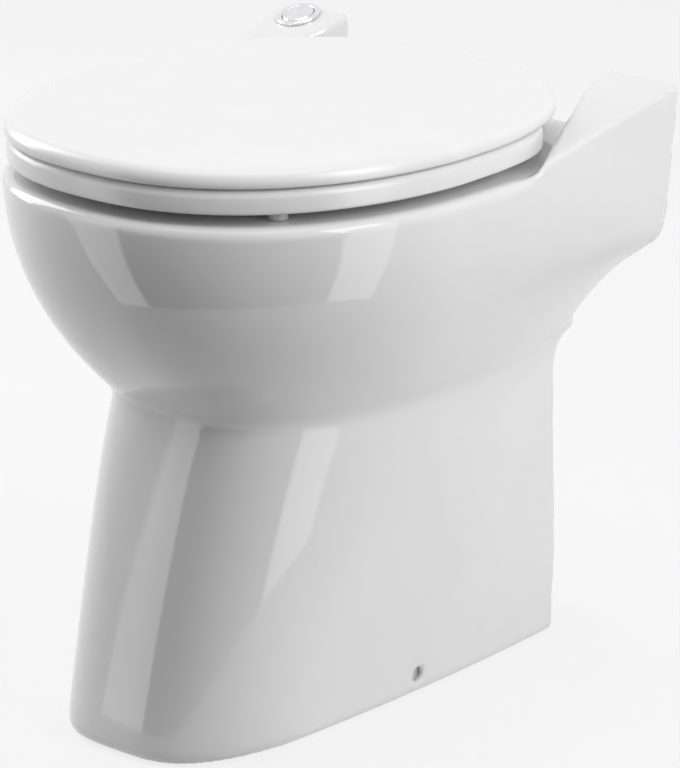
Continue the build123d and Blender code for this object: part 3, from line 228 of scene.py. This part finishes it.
BUTTON_AT = Vector((BUTTON_X, BACK - BUTTON_AHEAD, HEIGHT - RAMP_SLOPE * BUTTON_AHEAD))
RAMP_ANGLE = math.atan(RAMP_SLOPE)
BUTTON_AXIS = Vector((0, -math.sin(RAMP_ANGLE), math.cos(RAMP_ANGLE)))


def pan_depth(points):
    """The whole china pan: below zero inside the clay."""
    x, y, z = points[:, 0], points[:, 1], points[:, 2]
    body = depth_of(body_level, points)
    rear = step_between(30, 90, y)
    body_top = top_depth(points, 0.0, 0.0, 9.0, 3.0)
    outside = meet(body, body_top, 8.0 - 4.5 * rear)
    behind = y - BACK - (FOOT_BACK - BACK) * np.clip(1 - z / CREASE, 0, 1)
    outside = meet(outside, behind, 3.0)
    outside = meet(outside, -z, 9.0)
    basin = depth_of(basin_level, points)
    basin = np.maximum(basin, BASIN_FLOOR - z)
    hollow = meet(body + WALL, top_depth(points, DECK, WALL, 4.0, 4.0), 4.0)
    foot_step = 7.0 * (1 - step_between(6, 14, z))
    hollow = np.maximum(hollow, body + WALL + foot_step)
    hollow = meet(hollow, -(basin - WALL), 6.0)
    neck = rod_depth(points, 2, NECK_RADIUS, (0.0, OUTLET_Y))
    neck = np.maximum(neck, np.maximum(NECK_LOW - z, z - NECK_HIGH))
    hollow = meet(hollow, -neck, 3.0)
    pan = meet(outside, -hollow, 1.5)
    pan = meet(pan, -basin, 6.0)
    bore = rod_depth(points, 2, OUTLET_BORE, (0.0, OUTLET_Y))
    bore = np.maximum(bore, np.maximum(OUTLET_LOW - z, z - NECK_HIGH))
    pan = meet(pan, -bore, 1.5)
    offset = points - np.array(BUTTON_AT)
    axis = np.array(BUTTON_AXIS)
    high = offset @ axis
    around = np.sqrt(np.maximum((offset ** 2).sum(axis=1) - high ** 2, 0))
    pan = meet(pan, -np.maximum(around - BUTTON_BORE, np.abs(high) - BUTTON_HOLE_REACH), 0.8)
    for side in (-1, 1):
        bolt = rod_depth(points, 2, HOLE_RADIUS, (side * HINGE_BOLT_X, HINGE_BOLT_Y))
        pan = meet(pan, -np.maximum(bolt, HINGE_HOLE_LOW - z), 0.8)
    fixing = rod_depth(points, 0, HOLE_RADIUS, (FIXING_Y, FIXING_Z))
    pan = meet(pan, -np.maximum(fixing, FIXING_FROM_X - np.abs(x)), 1.0)
    nozzle = rod_depth(points, 1, NOZZLE_BORE, (0.0, RIM - NOZZLE_DROP))
    return meet(pan, -np.maximum(nozzle, NOZZLE_FROM_Y - y), 1.0)


# From a form to its skin

def grid_skin(field, low, high, cell):
    """Points and four-sided faces of the zero surface of a field."""
    axes = [np.arange(a, b + cell, cell) for a, b in zip(low, high)]
    counts = [len(a) for a in axes]
    rows = []
    for x in axes[0]:
        ys, zs = np.meshgrid(axes[1], axes[2], indexing="ij")
        points = np.column_stack([np.full(ys.size, x), ys.ravel(), zs.ravel()])
        rows.append(field(points).reshape(counts[1], counts[2]))
    values = np.array(rows)
    inside = values < 0
    cells = [c - 1 for c in counts]
    corners = [(i, j, k) for i in (0, 1) for j in (0, 1) for k in (0, 1)]

    def at(array, corner):
        i, j, k = corner
        return array[i:i + cells[0], j:j + cells[1], k:k + cells[2]]

    filled = sum(at(inside, c).astype(np.int8) for c in corners)
    mixed_cells = (filled > 0) & (filled < 8)
    number = np.full(cells, -1, dtype=np.int64)
    number[mixed_cells] = np.arange(mixed_cells.sum())
    where = np.argwhere(mixed_cells)
    total = np.zeros((len(where), 3))
    hits = np.zeros(len(where))
    for a in corners:
        for b in corners:
            if sum(b) - sum(a) != 1 or any(q < p for p, q in zip(a, b)):
                continue
            first = at(values, a)[mixed_cells]
            second = at(values, b)[mixed_cells]
            crossed = (first < 0) != (second < 0)
            share = np.where(crossed, first / np.where(crossed, first - second, 1.0), 0.0)
            spot = np.array(a) + share[:, None] * (np.array(b) - np.array(a))
            total += spot * crossed[:, None]
            hits += crossed
    points = np.array(low) + (where + total / hits[:, None]) * cell
    faces = []
    for axis in range(3):
        first, second = (axis + 1) % 3, (axis + 2) % 3
        lower = [slice(1, -1)] * 3
        upper = [slice(1, -1)] * 3
        lower[axis] = slice(0, -1)
        upper[axis] = slice(1, None)
        here = inside[tuple(lower)]
        crossed = np.argwhere(here != inside[tuple(upper)])
        crossed[:, first] += 1
        crossed[:, second] += 1
        loop = []
        for move in ((-1, -1), (0, -1), (0, 0), (-1, 0)):
            spot = crossed.copy()
            spot[:, first] += move[0]
            spot[:, second] += move[1]
            loop.append(number[spot[:, 0], spot[:, 1], spot[:, 2]])
        quads = np.column_stack(loop)
        solid_low = inside[crossed[:, 0], crossed[:, 1], crossed[:, 2]]
        quads[~solid_low] = quads[~solid_low][:, ::-1]
        faces.append(quads)
    return points, np.concatenate(faces)


def slope_of(field, points):
    """How fast a field grows along each axis."""
    reach = 0.2
    slope = np.empty_like(points)
    for axis in range(3):
        ahead = points.copy()
        behind = points.copy()
        ahead[:, axis] += reach
        behind[:, axis] -= reach
        slope[:, axis] = (field(ahead) - field(behind)) / (2 * reach)
    return slope


def settle(field, points, faces, cell, rounds):
    """Spreads the points evenly over the surface and puts them on it."""
    edges = np.concatenate([faces[:, [i, (i + 1) % 4]] for i in range(4)])
    counts = np.bincount(edges[:, 0], minlength=len(points)) + np.bincount(edges[:, 1], minlength=len(points))
    for turn in range(rounds):
        slope = slope_of(field, points)
        length = np.linalg.norm(slope, axis=1, keepdims=True)
        normal = slope / np.maximum(length, 1e-6)
        away = field(points)[:, None] / np.maximum(length, 0.3)
        points = points - normal * np.clip(away, -cell / 2, cell / 2)
        if turn == rounds - 1:
            break
        total = np.zeros_like(points)
        for axis in range(3):
            total[:, axis] += np.bincount(edges[:, 0], points[edges[:, 1], axis], minlength=len(points))
            total[:, axis] += np.bincount(edges[:, 1], points[edges[:, 0], axis], minlength=len(points))
        pull = total / counts[:, None] - points
        pull -= normal * (pull * normal).sum(axis=1, keepdims=True)
        points = points + 0.6 * pull
    return points


def mesh_piece(name, points, faces, material, body):
    """A mesh object from points in millimetres, riding a body."""
    mesh = bpy.data.meshes.new(name)
    mesh.from_pydata((np.asarray(points) * MM).tolist(), [], [tuple(int(i) for i in f) for f in faces])
    mesh.validate()
    mesh.shade_smooth()
    piece = bpy.data.objects.new(name, mesh)
    bpy.context.scene.collection.objects.link(piece)
    piece.data.materials.append(material)
    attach(piece, body)
    return piece


# Materials

def new_material(name):
    material = bpy.data.materials.new(name)
    material.use_nodes = True
    return material, material.node_tree, material.node_tree.nodes["Principled BSDF"]


def add_node(tree, kind, **values):
    node = tree.nodes.new(kind)
    for key, value in values.items():
        node.inputs[key].default_value = value
    return node


def mottle(tree, shader, scale, colours, roughness):
    """Slow changes of colour and gloss over a surface, read from Object coordinates."""
    where = tree.nodes.new("ShaderNodeTexCoord")
    noise = add_node(tree, "ShaderNodeTexNoise", Scale=scale, Detail=4.0, Roughness=0.55)
    tree.links.new(where.outputs["Object"], noise.inputs["Vector"])
    ramp = tree.nodes.new("ShaderNodeValToRGB")
    ramp.color_ramp.elements[0].position = 0.3
    ramp.color_ramp.elements[1].position = 0.7
    ramp.color_ramp.elements[0].color = (*colours[0], 1)
    ramp.color_ramp.elements[1].color = (*colours[1], 1)
    tree.links.new(noise.outputs["Fac"], ramp.inputs["Fac"])
    tree.links.new(ramp.outputs["Color"], shader.inputs["Base Color"])
    gloss = tree.nodes.new("ShaderNodeMapRange")
    gloss.inputs["To Min"].default_value = roughness[0]
    gloss.inputs["To Max"].default_value = roughness[1]
    tree.links.new(noise.outputs["Fac"], gloss.inputs["Value"])
    tree.links.new(gloss.outputs["Result"], shader.inputs["Roughness"])
    return where


def add_bump(tree, shader, where, scale, strength, distance):
    """Fine unevenness, read from the same coordinates as the colour."""
    noise = add_node(tree, "ShaderNodeTexNoise", Scale=scale, Detail=2.0)
    tree.links.new(where.outputs["Object"], noise.inputs["Vector"])
    bump = add_node(tree, "ShaderNodeBump", Strength=strength, Distance=distance)
    tree.links.new(noise.outputs["Fac"], bump.inputs["Height"])
    tree.links.new(bump.outputs["Normal"], shader.inputs["Normal"])


def glaze():
    material, tree, shader = new_material("white_glaze")
    where = mottle(tree, shader, 9.0, ((0.80, 0.80, 0.80), (0.83, 0.83, 0.83)), (0.05, 0.08))
    shader.inputs["IOR"].default_value = 1.5
    add_bump(tree, shader, where, 35.0, 0.05, 0.0004)
    return material


def moulded_white():
    material, tree, shader = new_material("white_seat_plastic")
    where = mottle(tree, shader, 14.0, ((0.82, 0.82, 0.82), (0.84, 0.84, 0.84)), (0.22, 0.26))
    add_bump(tree, shader, where, 900.0, 0.03, 0.0002)
    return material


def plain_plastic(name, dark, light, roughness):
    material, tree, shader = new_material(name)
    where = mottle(tree, shader, 60.0, (dark, light), roughness)
    add_bump(tree, shader, where, 1500.0, 0.08, 0.0002)
    return material


def metal(name, dark, light, roughness):
    material, tree, shader = new_material(name)
    shader.inputs["Metallic"].default_value = 1.0
    mottle(tree, shader, 120.0, (dark, light), roughness)
    return material


GLAZE = glaze()
SEAT_WHITE = moulded_white()
CHROME = metal("polished_chrome", (0.72, 0.72, 0.74), (0.8, 0.8, 0.82), (0.04, 0.09))
STEEL = metal("stainless_steel", (0.5, 0.5, 0.51), (0.6, 0.6, 0.61), (0.22, 0.36))
CAST = metal("cast_aluminium", (0.52, 0.52, 0.54), (0.62, 0.62, 0.64), (0.35, 0.5))
RUBBER = plain_plastic("black_rubber", (0.018, 0.018, 0.018), (0.03, 0.03, 0.03), (0.55, 0.7))
PALE_RUBBER = plain_plastic("pale_rubber", (0.55, 0.55, 0.54), (0.62, 0.62, 0.61), (0.5, 0.6))
BLACK = plain_plastic("black_plastic", (0.02, 0.02, 0.022), (0.032, 0.032, 0.035), (0.4, 0.5))
GREY = plain_plastic("grey_casing", (0.2, 0.21, 0.22), (0.25, 0.26, 0.27), (0.4, 0.52))
WHITE = plain_plastic("white_fitting", (0.7, 0.7, 0.69), (0.76, 0.76, 0.75), (0.35, 0.45))
HOSE = plain_plastic("grey_hose", (0.33, 0.35, 0.36), (0.4, 0.42, 0.43), (0.45, 0.6))
ENAMEL = plain_plastic("black_enamel", (0.025, 0.028, 0.03), (0.035, 0.038, 0.04), (0.3, 0.4))
BOARD = plain_plastic("green_board", (0.03, 0.16, 0.07), (0.04, 0.2, 0.09), (0.35, 0.5))

FINISHES = {
    "china": GLAZE, "seat_plastic": SEAT_WHITE, "white_plastic": WHITE, "grey_plastic": GREY,
    "black_plastic": BLACK, "rubber": RUBBER, "hose": HOSE, "steel": STEEL, "chrome": CHROME,
    "painted_metal": ENAMEL, "aluminium": CAST, "board": BOARD,
}


def finish_nodes():
    """Gives every CAD piece the finish of its material."""
    slots = {part["node"]: part["material_slot"] for part in frame["record"]["subparts"]}
    for node, shown in frame["nodes"].items():
        shown.data.materials.clear()
        pale = node in ("seat_buffers", "lid_buffers", "hinge_washers")
        shown.data.materials.append(PALE_RUBBER if pale else FINISHES[slots[node]])


# China pan

PAN_CELL = 3.4
SETTLE_ROUNDS = 5


def make_pan():
    cell = PAN_CELL
    low = (-WIDTH / 2 - 2 * cell, FRONT - 2 * cell, -2 * cell)
    high = (WIDTH / 2 + 2 * cell, FOOT_BACK + 2 * cell, HEIGHT + 2 * cell)
    points, faces = grid_skin(pan_depth, low, high, cell)
    points = settle(pan_depth, points, faces, cell, SETTLE_ROUNDS)
    pan = mesh_piece("pan_skin", points, faces, GLAZE, "pan")
    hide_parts("china_pan")


# Lid and seat, built from rings of points

LID_HALF = 180.0
LID_NOSE = FRONT + 2.0
LID_BACK = BACK - 14.0
WIDEST = FRONT + 207.0
SEAT_LOW = RIM + 9.0
SEAT_THICK = 17.5
LID_LOW = SEAT_LOW + SEAT_THICK + 1.5
LID_THICK = 13.5
HINGE_Y = LID_BACK - 14.0
HINGE_Z = RIM + 17.0
SEAT_INSET = 1.5
SEAT_BOARD = 50.0
SEAT_SETBACK = 26.0
SEAT_REAR_BOARD = 47.0
EYE_LONG = 10.0
EYE_BORE = 3.1
EYE_RADIUS = 7.0
LID_EYE_X = 85.9
SEAT_EYE_X = 59.1
OUTLINE_STEPS = 200

# Rear outlines: how far in from the half width, and how far ahead of the lid's back
LID_REAR = [(0.0, 197), (5, 143), (15, 104), (30.4, 68), (55, 38), (79, 17), (100, 5), (128, 0), (180, 0)]
SEAT_REAR = [(0.0, 197), (5, 143), (13, 107), (21.5, 89), (40.5, 68), (66, 45), (94, 30),
            (124, 26), (178.5, 26)]


def rear_outline(count, half, rear):
    """From the widest place back to the middle of the rear edge, through set points."""
    set_points = np.array([(half - inset, LID_BACK - ahead) for inset, ahead in rear])
    reach = np.r_[0, np.cumsum(np.linalg.norm(np.diff(set_points, axis=0), axis=1))]
    spots = np.linspace(0, reach[-1], count)
    columns = [curve_through(list(zip(reach, set_points[:, i])), spots) for i in range(2)]
    return np.column_stack(columns).tolist()


def evenly(points, count):
    """The same line with evenly spaced points."""
    points = np.array(points)
    lengths = np.r_[0, np.cumsum(np.linalg.norm(np.diff(points, axis=0), axis=1))]
    spots = np.linspace(0, lengths[-1], count)
    return np.column_stack([np.interp(spots, lengths, points[:, i]) for i in range(2)])


def egg_outline(nose, half, rear):
    """The closed plan outline of the lid or seat, the nose first, turning by way of +X."""
    side = []
    for i in range(OUTLINE_STEPS):
        across = math.sin(math.pi / 2 * i / OUTLINE_STEPS)
        along = (1 - across ** 2.31) ** (1 / 2.14)
        side.append((half * across, WIDEST - (WIDEST - nose) * along))
    side += rear_outline(OUTLINE_STEPS, half, rear)
    side = evenly(side, OUTLINE_STEPS)
    other = side[1:-1][::-1] * np.array([-1, 1])
    return np.concatenate([side, other])


def inward(outline):
    """Unit directions into a closed outline that turns anticlockwise."""
    ahead = np.roll(outline, -1, axis=0) - np.roll(outline, 1, axis=0)
    ahead /= np.linalg.norm(ahead, axis=1, keepdims=True)
    return np.column_stack([-ahead[:, 1], ahead[:, 0]])


def stack_rings(rings, closed):
    """Faces between rings of equal length; closed joins the last ring to the first."""
    count = len(rings[0])
    faces = []
    for level in range(len(rings) if closed else len(rings) - 1):
        below = level * count
        above = ((level + 1) % len(rings)) * count
        for i in range(count):
            j = (i + 1) % count
            faces.append((below + i, below + j, above + j, above + i))
    return faces


def quarter(inset, low, high, radius, count, top):
    """Inset and height pairs round a quarter edge, from the side to the face or back."""
    pairs = []
    for i in range(count + 1):
        angle = math.pi / 2 * i / count
        if top:
            pairs.append((inset + radius * (1 - math.cos(angle)), high - radius * (1 - math.sin(angle))))
        else:
            pairs.append((inset + radius * (1 - math.sin(angle)), low + radius * (1 - math.cos(angle))))
    return pairs


def make_lid():
    outline = egg_outline(LID_NOSE, LID_HALF, LID_REAR)
    into = inward(outline)
    high = LID_LOW + LID_THICK
    centre = np.array([0.0, -15.0])
    edge = 9.0
    under = 2.5
    hollow = 2.0
    crown = 0.8
    rings = []

    def ring(inset, height):
        flat = outline + into * inset
        rings.append(np.column_stack([flat, np.full(len(flat), height)]))

    def shrunk(share, inset, height):
        flat = centre + (outline + into * inset - centre) * share
        rings.append(np.column_stack([flat, np.full(len(flat), height)]))

    for share in (0.02, 0.3, 0.6, 0.9):
        shrunk(share, 12.0, LID_LOW + hollow)
    ring(10.0, LID_LOW + hollow)
    ring(7.5, LID_LOW + 0.4)
    ring(6.0, LID_LOW)
    for inset, height in quarter(0.0, LID_LOW, high, under, 4, False):
        ring(inset, height)
    for inset, height in quarter(0.0, LID_LOW, high - crown, edge, 10, True):
        ring(inset, height)
    for share in (0.97, 0.9, 0.8, 0.65, 0.5, 0.35, 0.2, 0.1, 0.02):
        shrunk(share, edge, high - crown * share ** 2)
    faces = stack_rings(rings, False)
    count = len(outline)
    points = np.concatenate(rings)
    last = len(points) - count
    points = np.concatenate([points, [[*centre, LID_LOW + hollow], [*centre, high]]])
    for i in range(count):
        j = (i + 1) % count
        faces.append((j, i, len(points) - 2, len(points) - 2))
        faces.append((last + i, last + j, len(points) - 1, len(points) - 1))
    faces = [f[:3] if f[2] == f[3] else f for f in faces]
    return points, faces


def make_seat():
    outline = egg_outline(LID_NOSE + SEAT_INSET, LID_HALF - SEAT_INSET, SEAT_REAR)
    opening_back = LID_BACK - SEAT_SETBACK - SEAT_REAR_BOARD
    nose = LID_NOSE + SEAT_INSET + SEAT_BOARD
    half = LID_HALF - SEAT_INSET - SEAT_BOARD
    length = opening_back - nose
    middle = nose + length / 2
    angles = np.arctan2(outline[:, 0] / half, -(outline[:, 1] - middle) / (length / 2))
    inner = np.column_stack([half * np.sin(angles), middle - length / 2 * np.cos(angles)])
    into = inward(outline)
    out = inward(inner)
    high = SEAT_LOW + SEAT_THICK
    rings = []

    def outer_ring(inset, height):
        rings.append(np.column_stack([outline + into * inset, np.full(len(outline), height)]))

    def inner_ring(inset, height):
        rings.append(np.column_stack([inner - out * inset, np.full(len(inner), height)]))

    def between(share, height):
        flat = (outline + into * 8) * (1 - share) + (inner - out * 8) * share
        rings.append(np.column_stack([flat, np.full(len(flat), height)]))

    for inset, height in quarter(0.0, SEAT_LOW, high, 3.0, 4, False):
        outer_ring(inset, height)
    for inset, height in quarter(0.0, SEAT_LOW, high, 6.0, 8, True):
        outer_ring(inset, height)
    for share in (0.2, 0.5, 0.8):
        between(share, high - 0.3 * share)
    for inset, height in reversed(quarter(0.0, SEAT_LOW, high - 0.5, 7.0, 8, True)):
        inner_ring(inset, height)
    for inset, height in reversed(quarter(0.0, SEAT_LOW, high, 4.0, 4, False)):
        inner_ring(inset, height)
    for share in (0.8, 0.5, 0.2):
        between(share, SEAT_LOW)
    return np.concatenate(rings), stack_rings(rings, True)


def eyes_and_arms(name, inner_x, arm, body):
    """Hinge eyes round the pin, and the arm (front, back, low, high) that ties each to its board."""
    front, back, low, high = arm
    points = []
    faces = []
    turns = 24
    for side in (-1, 1):
        for radius in (EYE_BORE, EYE_RADIUS):
            for x in (inner_x, inner_x + EYE_LONG):
                for i in range(turns):
                    angle = 2 * math.pi * i / turns
                    height = HINGE_Z + radius * math.sin(angle)
                    points.append((side * x, HINGE_Y + radius * math.cos(angle), height))
        first = len(points) - 4 * turns
        bands = [(0, 1), (1, 3), (3, 2), (2, 0)]
        for a, b in bands:
            near = first + a * turns
            far = first + b * turns
            for i in range(turns):
                j = (i + 1) % turns
                quad = (near + i, near + j, far + j, far + i)
                faces.append(quad if side > 0 else quad[::-1])
        start = len(points)
        for x in (inner_x, inner_x + EYE_LONG):
            for y, z in ((front, low), (back, low), (back, high), (front, high)):
                points.append((side * x, y, z))
        box = [(0, 3, 2, 1), (4, 5, 6, 7), (0, 1, 5, 4), (1, 2, 6, 5), (2, 3, 7, 6), (3, 0, 4, 7)]
        for quad in box:
            quad = tuple(start + i for i in quad)
            faces.append(quad if side > 0 else quad[::-1])
    piece = mesh_piece(name, points, faces, SEAT_WHITE, body)
    piece.data.shade_flat()
    soften = piece.modifiers.new("soft_edges", "BEVEL")
    soften.width = SOFT_EDGE * MM
    soften.segments = 2
    return piece


def make_boards():
    points, faces = make_lid()
    lid = mesh_piece("lid_board", points, faces, SEAT_WHITE, "lid")
    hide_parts("lid")
    points, faces = make_seat()
    seat = mesh_piece("seat_board", points, faces, SEAT_WHITE, "seat")
    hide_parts("seat_ring")
    lid_arm = (HINGE_Y - 7, HINGE_Y + 3, HINGE_Z + 5, LID_LOW + 3)
    eyes = eyes_and_arms("lid_hinge_eyes", LID_EYE_X, lid_arm, "lid")
    seat_arm = (LID_BACK - 32, HINGE_Y - 4, HINGE_Z - 5, HINGE_Z + 5)
    eyes = eyes_and_arms("seat_hinge_eyes", SEAT_EYE_X, seat_arm, "seat")


# Flush button

TURNS = 96
BUTTON_TILT = Vector((0, 0, 1)).rotation_difference(BUTTON_AXIS).to_matrix()


def round_button(radius, angle, height):
    """A point round the button's axis."""
    spot = BUTTON_TILT @ Vector((radius * math.cos(angle), radius * math.sin(angle), height))
    return tuple(spot + BUTTON_AT)


def turned_rings(profile):
    """Rings of points from radius and height pairs, turned about the button's axis."""
    angles = [2 * math.pi * i / TURNS for i in range(TURNS)]
    return [[round_button(radius, angle, height) for angle in angles] for radius, height in profile]


def turned_solid(name, profile, body):
    """A turned chrome piece, closed at both ends of its profile."""
    rings = turned_rings(profile)
    points = [spot for ring in rings for spot in ring]
    faces = stack_rings(rings, False)
    for level, flip in ((0, True), (len(profile) - 1, False)):
        points.append(round_button(0.0, 0.0, profile[level][1]))
        for i in range(TURNS):
            tri = (level * TURNS + i, level * TURNS + (i + 1) % TURNS, len(points) - 1)
            faces.append(tri[::-1] if flip else tri)
    return mesh_piece(name, points, faces, CHROME, body)


def turned_ring(name, profile, body):
    """A turned chrome ring: its profile is a closed loop that stays clear of the axis."""
    rings = turned_rings(profile)
    points = [spot for ring in rings for spot in ring]
    return mesh_piece(name, points, stack_rings(rings, True), CHROME, body)


def make_button():
    bezel = [(12.9, -19.9), (13.7, -19.9), (13.7, 0.0), (17.1, 0.0), (17.35, 0.3), (17.45, 1.2), (17.2, 2.0),
             (16.6, 2.45), (15.8, 2.6), (13.6, 2.6), (13.1, 2.4), (12.9, 2.0)]
    ring = turned_ring("button_bezel_ring", bezel, "pan")
    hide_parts("button_bezel")
    cap = [(2.8, -31.0), (3.0, -30.8), (3.0, -1.1), (12.2, -1.0), (12.4, -0.8), (12.4, 2.4), (12.2, 2.85),
           (11.7, 3.15), (11.0, 3.2), (10.6, 3.0), (10.2, 2.9), (6.0, 2.75), (2.0, 2.7)]
    dish = turned_solid("button_cap_dish", cap, "button")
    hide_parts("button_cap")


# Stage, lights and camera

WORLD_LIGHT = 0.4
FLOOR_WHITE = 0.78
ARC_RADIUS = 0.5
ARC_STEPS = 24
BOARD_HEIGHT = 0.40
STRIP_HEIGHT = 0.6
# Each strip's first and last bearing from straight ahead, and its strength
STRIPS = (("left_strip", -30, -13, 2.2), ("right_strip", 77, 96, 2.6))
SENSOR = 36.0


def seen_or_mirrored(tree):
    """One where the eye, a mirror or a clear piece looks, nought for plain light."""
    path = tree.nodes.new("ShaderNodeLightPath")
    first = tree.nodes.new("ShaderNodeMath")
    first.operation = "MAXIMUM"
    tree.links.new(path.outputs["Is Camera Ray"], first.inputs[0])
    tree.links.new(path.outputs["Is Glossy Ray"], first.inputs[1])
    second = tree.nodes.new("ShaderNodeMath")
    second.operation = "MAXIMUM"
    tree.links.new(first.outputs["Value"], second.inputs[0])
    tree.links.new(path.outputs["Is Transmission Ray"], second.inputs[1])
    return second.outputs["Value"]


def make_floor():
    """A pale floor, lifted to white for the eye, which keeps the shadow of the pan."""
    material, tree, shader = new_material("pale_floor")
    mottle(tree, shader, 3.0, ((0.7, 0.7, 0.7), (0.73, 0.73, 0.73)), (0.6, 0.7))
    glow = add_node(tree, "ShaderNodeEmission", Strength=1.0)
    glow.inputs["Color"].default_value = (1, 1, 1, 1)
    share = tree.nodes.new("ShaderNodeMath")
    share.operation = "MULTIPLY"
    share.inputs[1].default_value = FLOOR_WHITE
    tree.links.new(seen_or_mirrored(tree), share.inputs[0])
    mix = tree.nodes.new("ShaderNodeMixShader")
    tree.links.new(share.outputs["Value"], mix.inputs["Fac"])
    tree.links.new(shader.outputs["BSDF"], mix.inputs[1])
    tree.links.new(glow.outputs["Emission"], mix.inputs[2])
    tree.links.new(mix.outputs["Shader"], tree.nodes["Material Output"].inputs["Surface"])
    bpy.ops.mesh.primitive_plane_add(size=14.0, location=(0, 0, 0))
    floor = bpy.context.object
    floor.name = "studio_floor"
    floor.data.materials.append(material)


def make_world():
    """Soft light from all round, and plain white to the eye."""
    world = bpy.data.worlds.new("soft_studio")
    bpy.context.scene.world = world
    world.use_nodes = True
    tree = world.node_tree
    tree.nodes.clear()
    out = tree.nodes.new("ShaderNodeOutputWorld")
    light = add_node(tree, "ShaderNodeBackground", Strength=WORLD_LIGHT)
    light.inputs["Color"].default_value = (1, 1, 1, 1)
    white = add_node(tree, "ShaderNodeBackground", Strength=1.0)
    white.inputs["Color"].default_value = (1, 1, 1, 1)
    mix = tree.nodes.new("ShaderNodeMixShader")
    tree.links.new(seen_or_mirrored(tree), mix.inputs["Fac"])
    tree.links.new(light.outputs["Background"], mix.inputs[1])
    tree.links.new(white.outputs["Background"], mix.inputs[2])
    tree.links.new(mix.outputs["Shader"], out.inputs["Surface"])


def curved_board(name, first, last, high, material):
    """A board standing round the front of the object, between two bearings from straight ahead."""
    points = []
    faces = []
    for i in range(ARC_STEPS + 1):
        bearing = math.radians(first + (last - first) * i / ARC_STEPS)
        for z in (0.0, high):
            points.append((ARC_RADIUS * math.sin(bearing), -ARC_RADIUS * math.cos(bearing), z))
        if i:
            faces.append((2 * i - 2, 2 * i, 2 * i + 1, 2 * i - 1))
    mesh = bpy.data.meshes.new(name)
    mesh.from_pydata(points, [], faces)
    board = bpy.data.objects.new(name, mesh)
    bpy.context.scene.collection.objects.link(board)
    board.data.materials.append(material)
    board.visible_camera = False
    return board


def make_boards_round_front():
    """A grey board that the glaze mirrors, and two bright strips beside it."""
    grey, tree, shader = new_material("grey_board")
    mottle(tree, shader, 2.0, ((0.05, 0.05, 0.05), (0.06, 0.06, 0.06)), (0.8, 0.9))
    curved_board("grey_front_board", -12, 76, BOARD_HEIGHT, grey)
    for name, first, last, strength in STRIPS:
        strip, tree, _ = new_material(name + "_glow")
        glow = add_node(tree, "ShaderNodeEmission", Strength=strength)
        tree.links.new(glow.outputs["Emission"], tree.nodes["Material Output"].inputs["Surface"])
        board = curved_board(name, first, last, STRIP_HEIGHT, strip)
        board.visible_diffuse = False
        board.visible_shadow = False


def add_soft_light(name, place, target, size, power):
    light = bpy.data.lights.new(name, "AREA")
    light.shape = "RECTANGLE"
    light.size, light.size_y = size
    light.energy = power
    lamp = bpy.data.objects.new(name, light)
    bpy.context.scene.collection.objects.link(lamp)
    lamp.location = place
    lamp.rotation_euler = (Vector(target) - Vector(place)).to_track_quat("-Z", "Y").to_euler()


def make_camera():
    """The photograph's view: turned to the right of the front and looking down a little."""
    turn = math.radians(43.455)
    rise = math.radians(17.6532)
    roll = math.radians(-0.3731)
    distance = 3.66384
    focal_pixels = 4903.8
    image_width = 680
    target = Vector((0, 0.0525, 0.2234))
    right = Vector((math.cos(turn), math.sin(turn), 0))
    up = Vector((-math.sin(turn) * math.sin(rise), math.cos(turn) * math.sin(rise), math.cos(rise)))
    back = Vector((math.sin(turn) * math.cos(rise), -math.cos(turn) * math.cos(rise), math.sin(rise)))
    level_right = math.cos(roll) * right + math.sin(roll) * up
    level_up = -math.sin(roll) * right + math.cos(roll) * up
    camera = bpy.data.cameras.new("studio_camera")
    camera.sensor_fit = "HORIZONTAL"
    camera.sensor_width = SENSOR
    camera.lens = focal_pixels / image_width * SENSOR
    seen = bpy.data.objects.new("studio_camera", camera)
    bpy.context.scene.collection.objects.link(seen)
    axes = Matrix((level_right, level_up, back)).transposed().to_4x4()
    seen.matrix_world = Matrix.Translation(target + back * distance) @ axes
    bpy.context.scene.camera = seen


finish_nodes()
make_pan()
make_boards()
make_button()
make_floor()
make_world()
make_boards_round_front()
add_soft_light("left_softbox", (-2.2, -0.4, 1.3), (0, 0, 0.25), (1.2, 1.8), 30)
add_soft_light("right_softbox", (2.3, 0.2, 1.5), (0, 0, 0.25), (1.0, 1.8), 32)
add_soft_light("top_softbox", (0.1, -0.3, 2.6), (0, 0, 0.3), (1.8, 1.8), 16)
make_camera()
bpy.context.scene.view_settings.view_transform = "Standard"
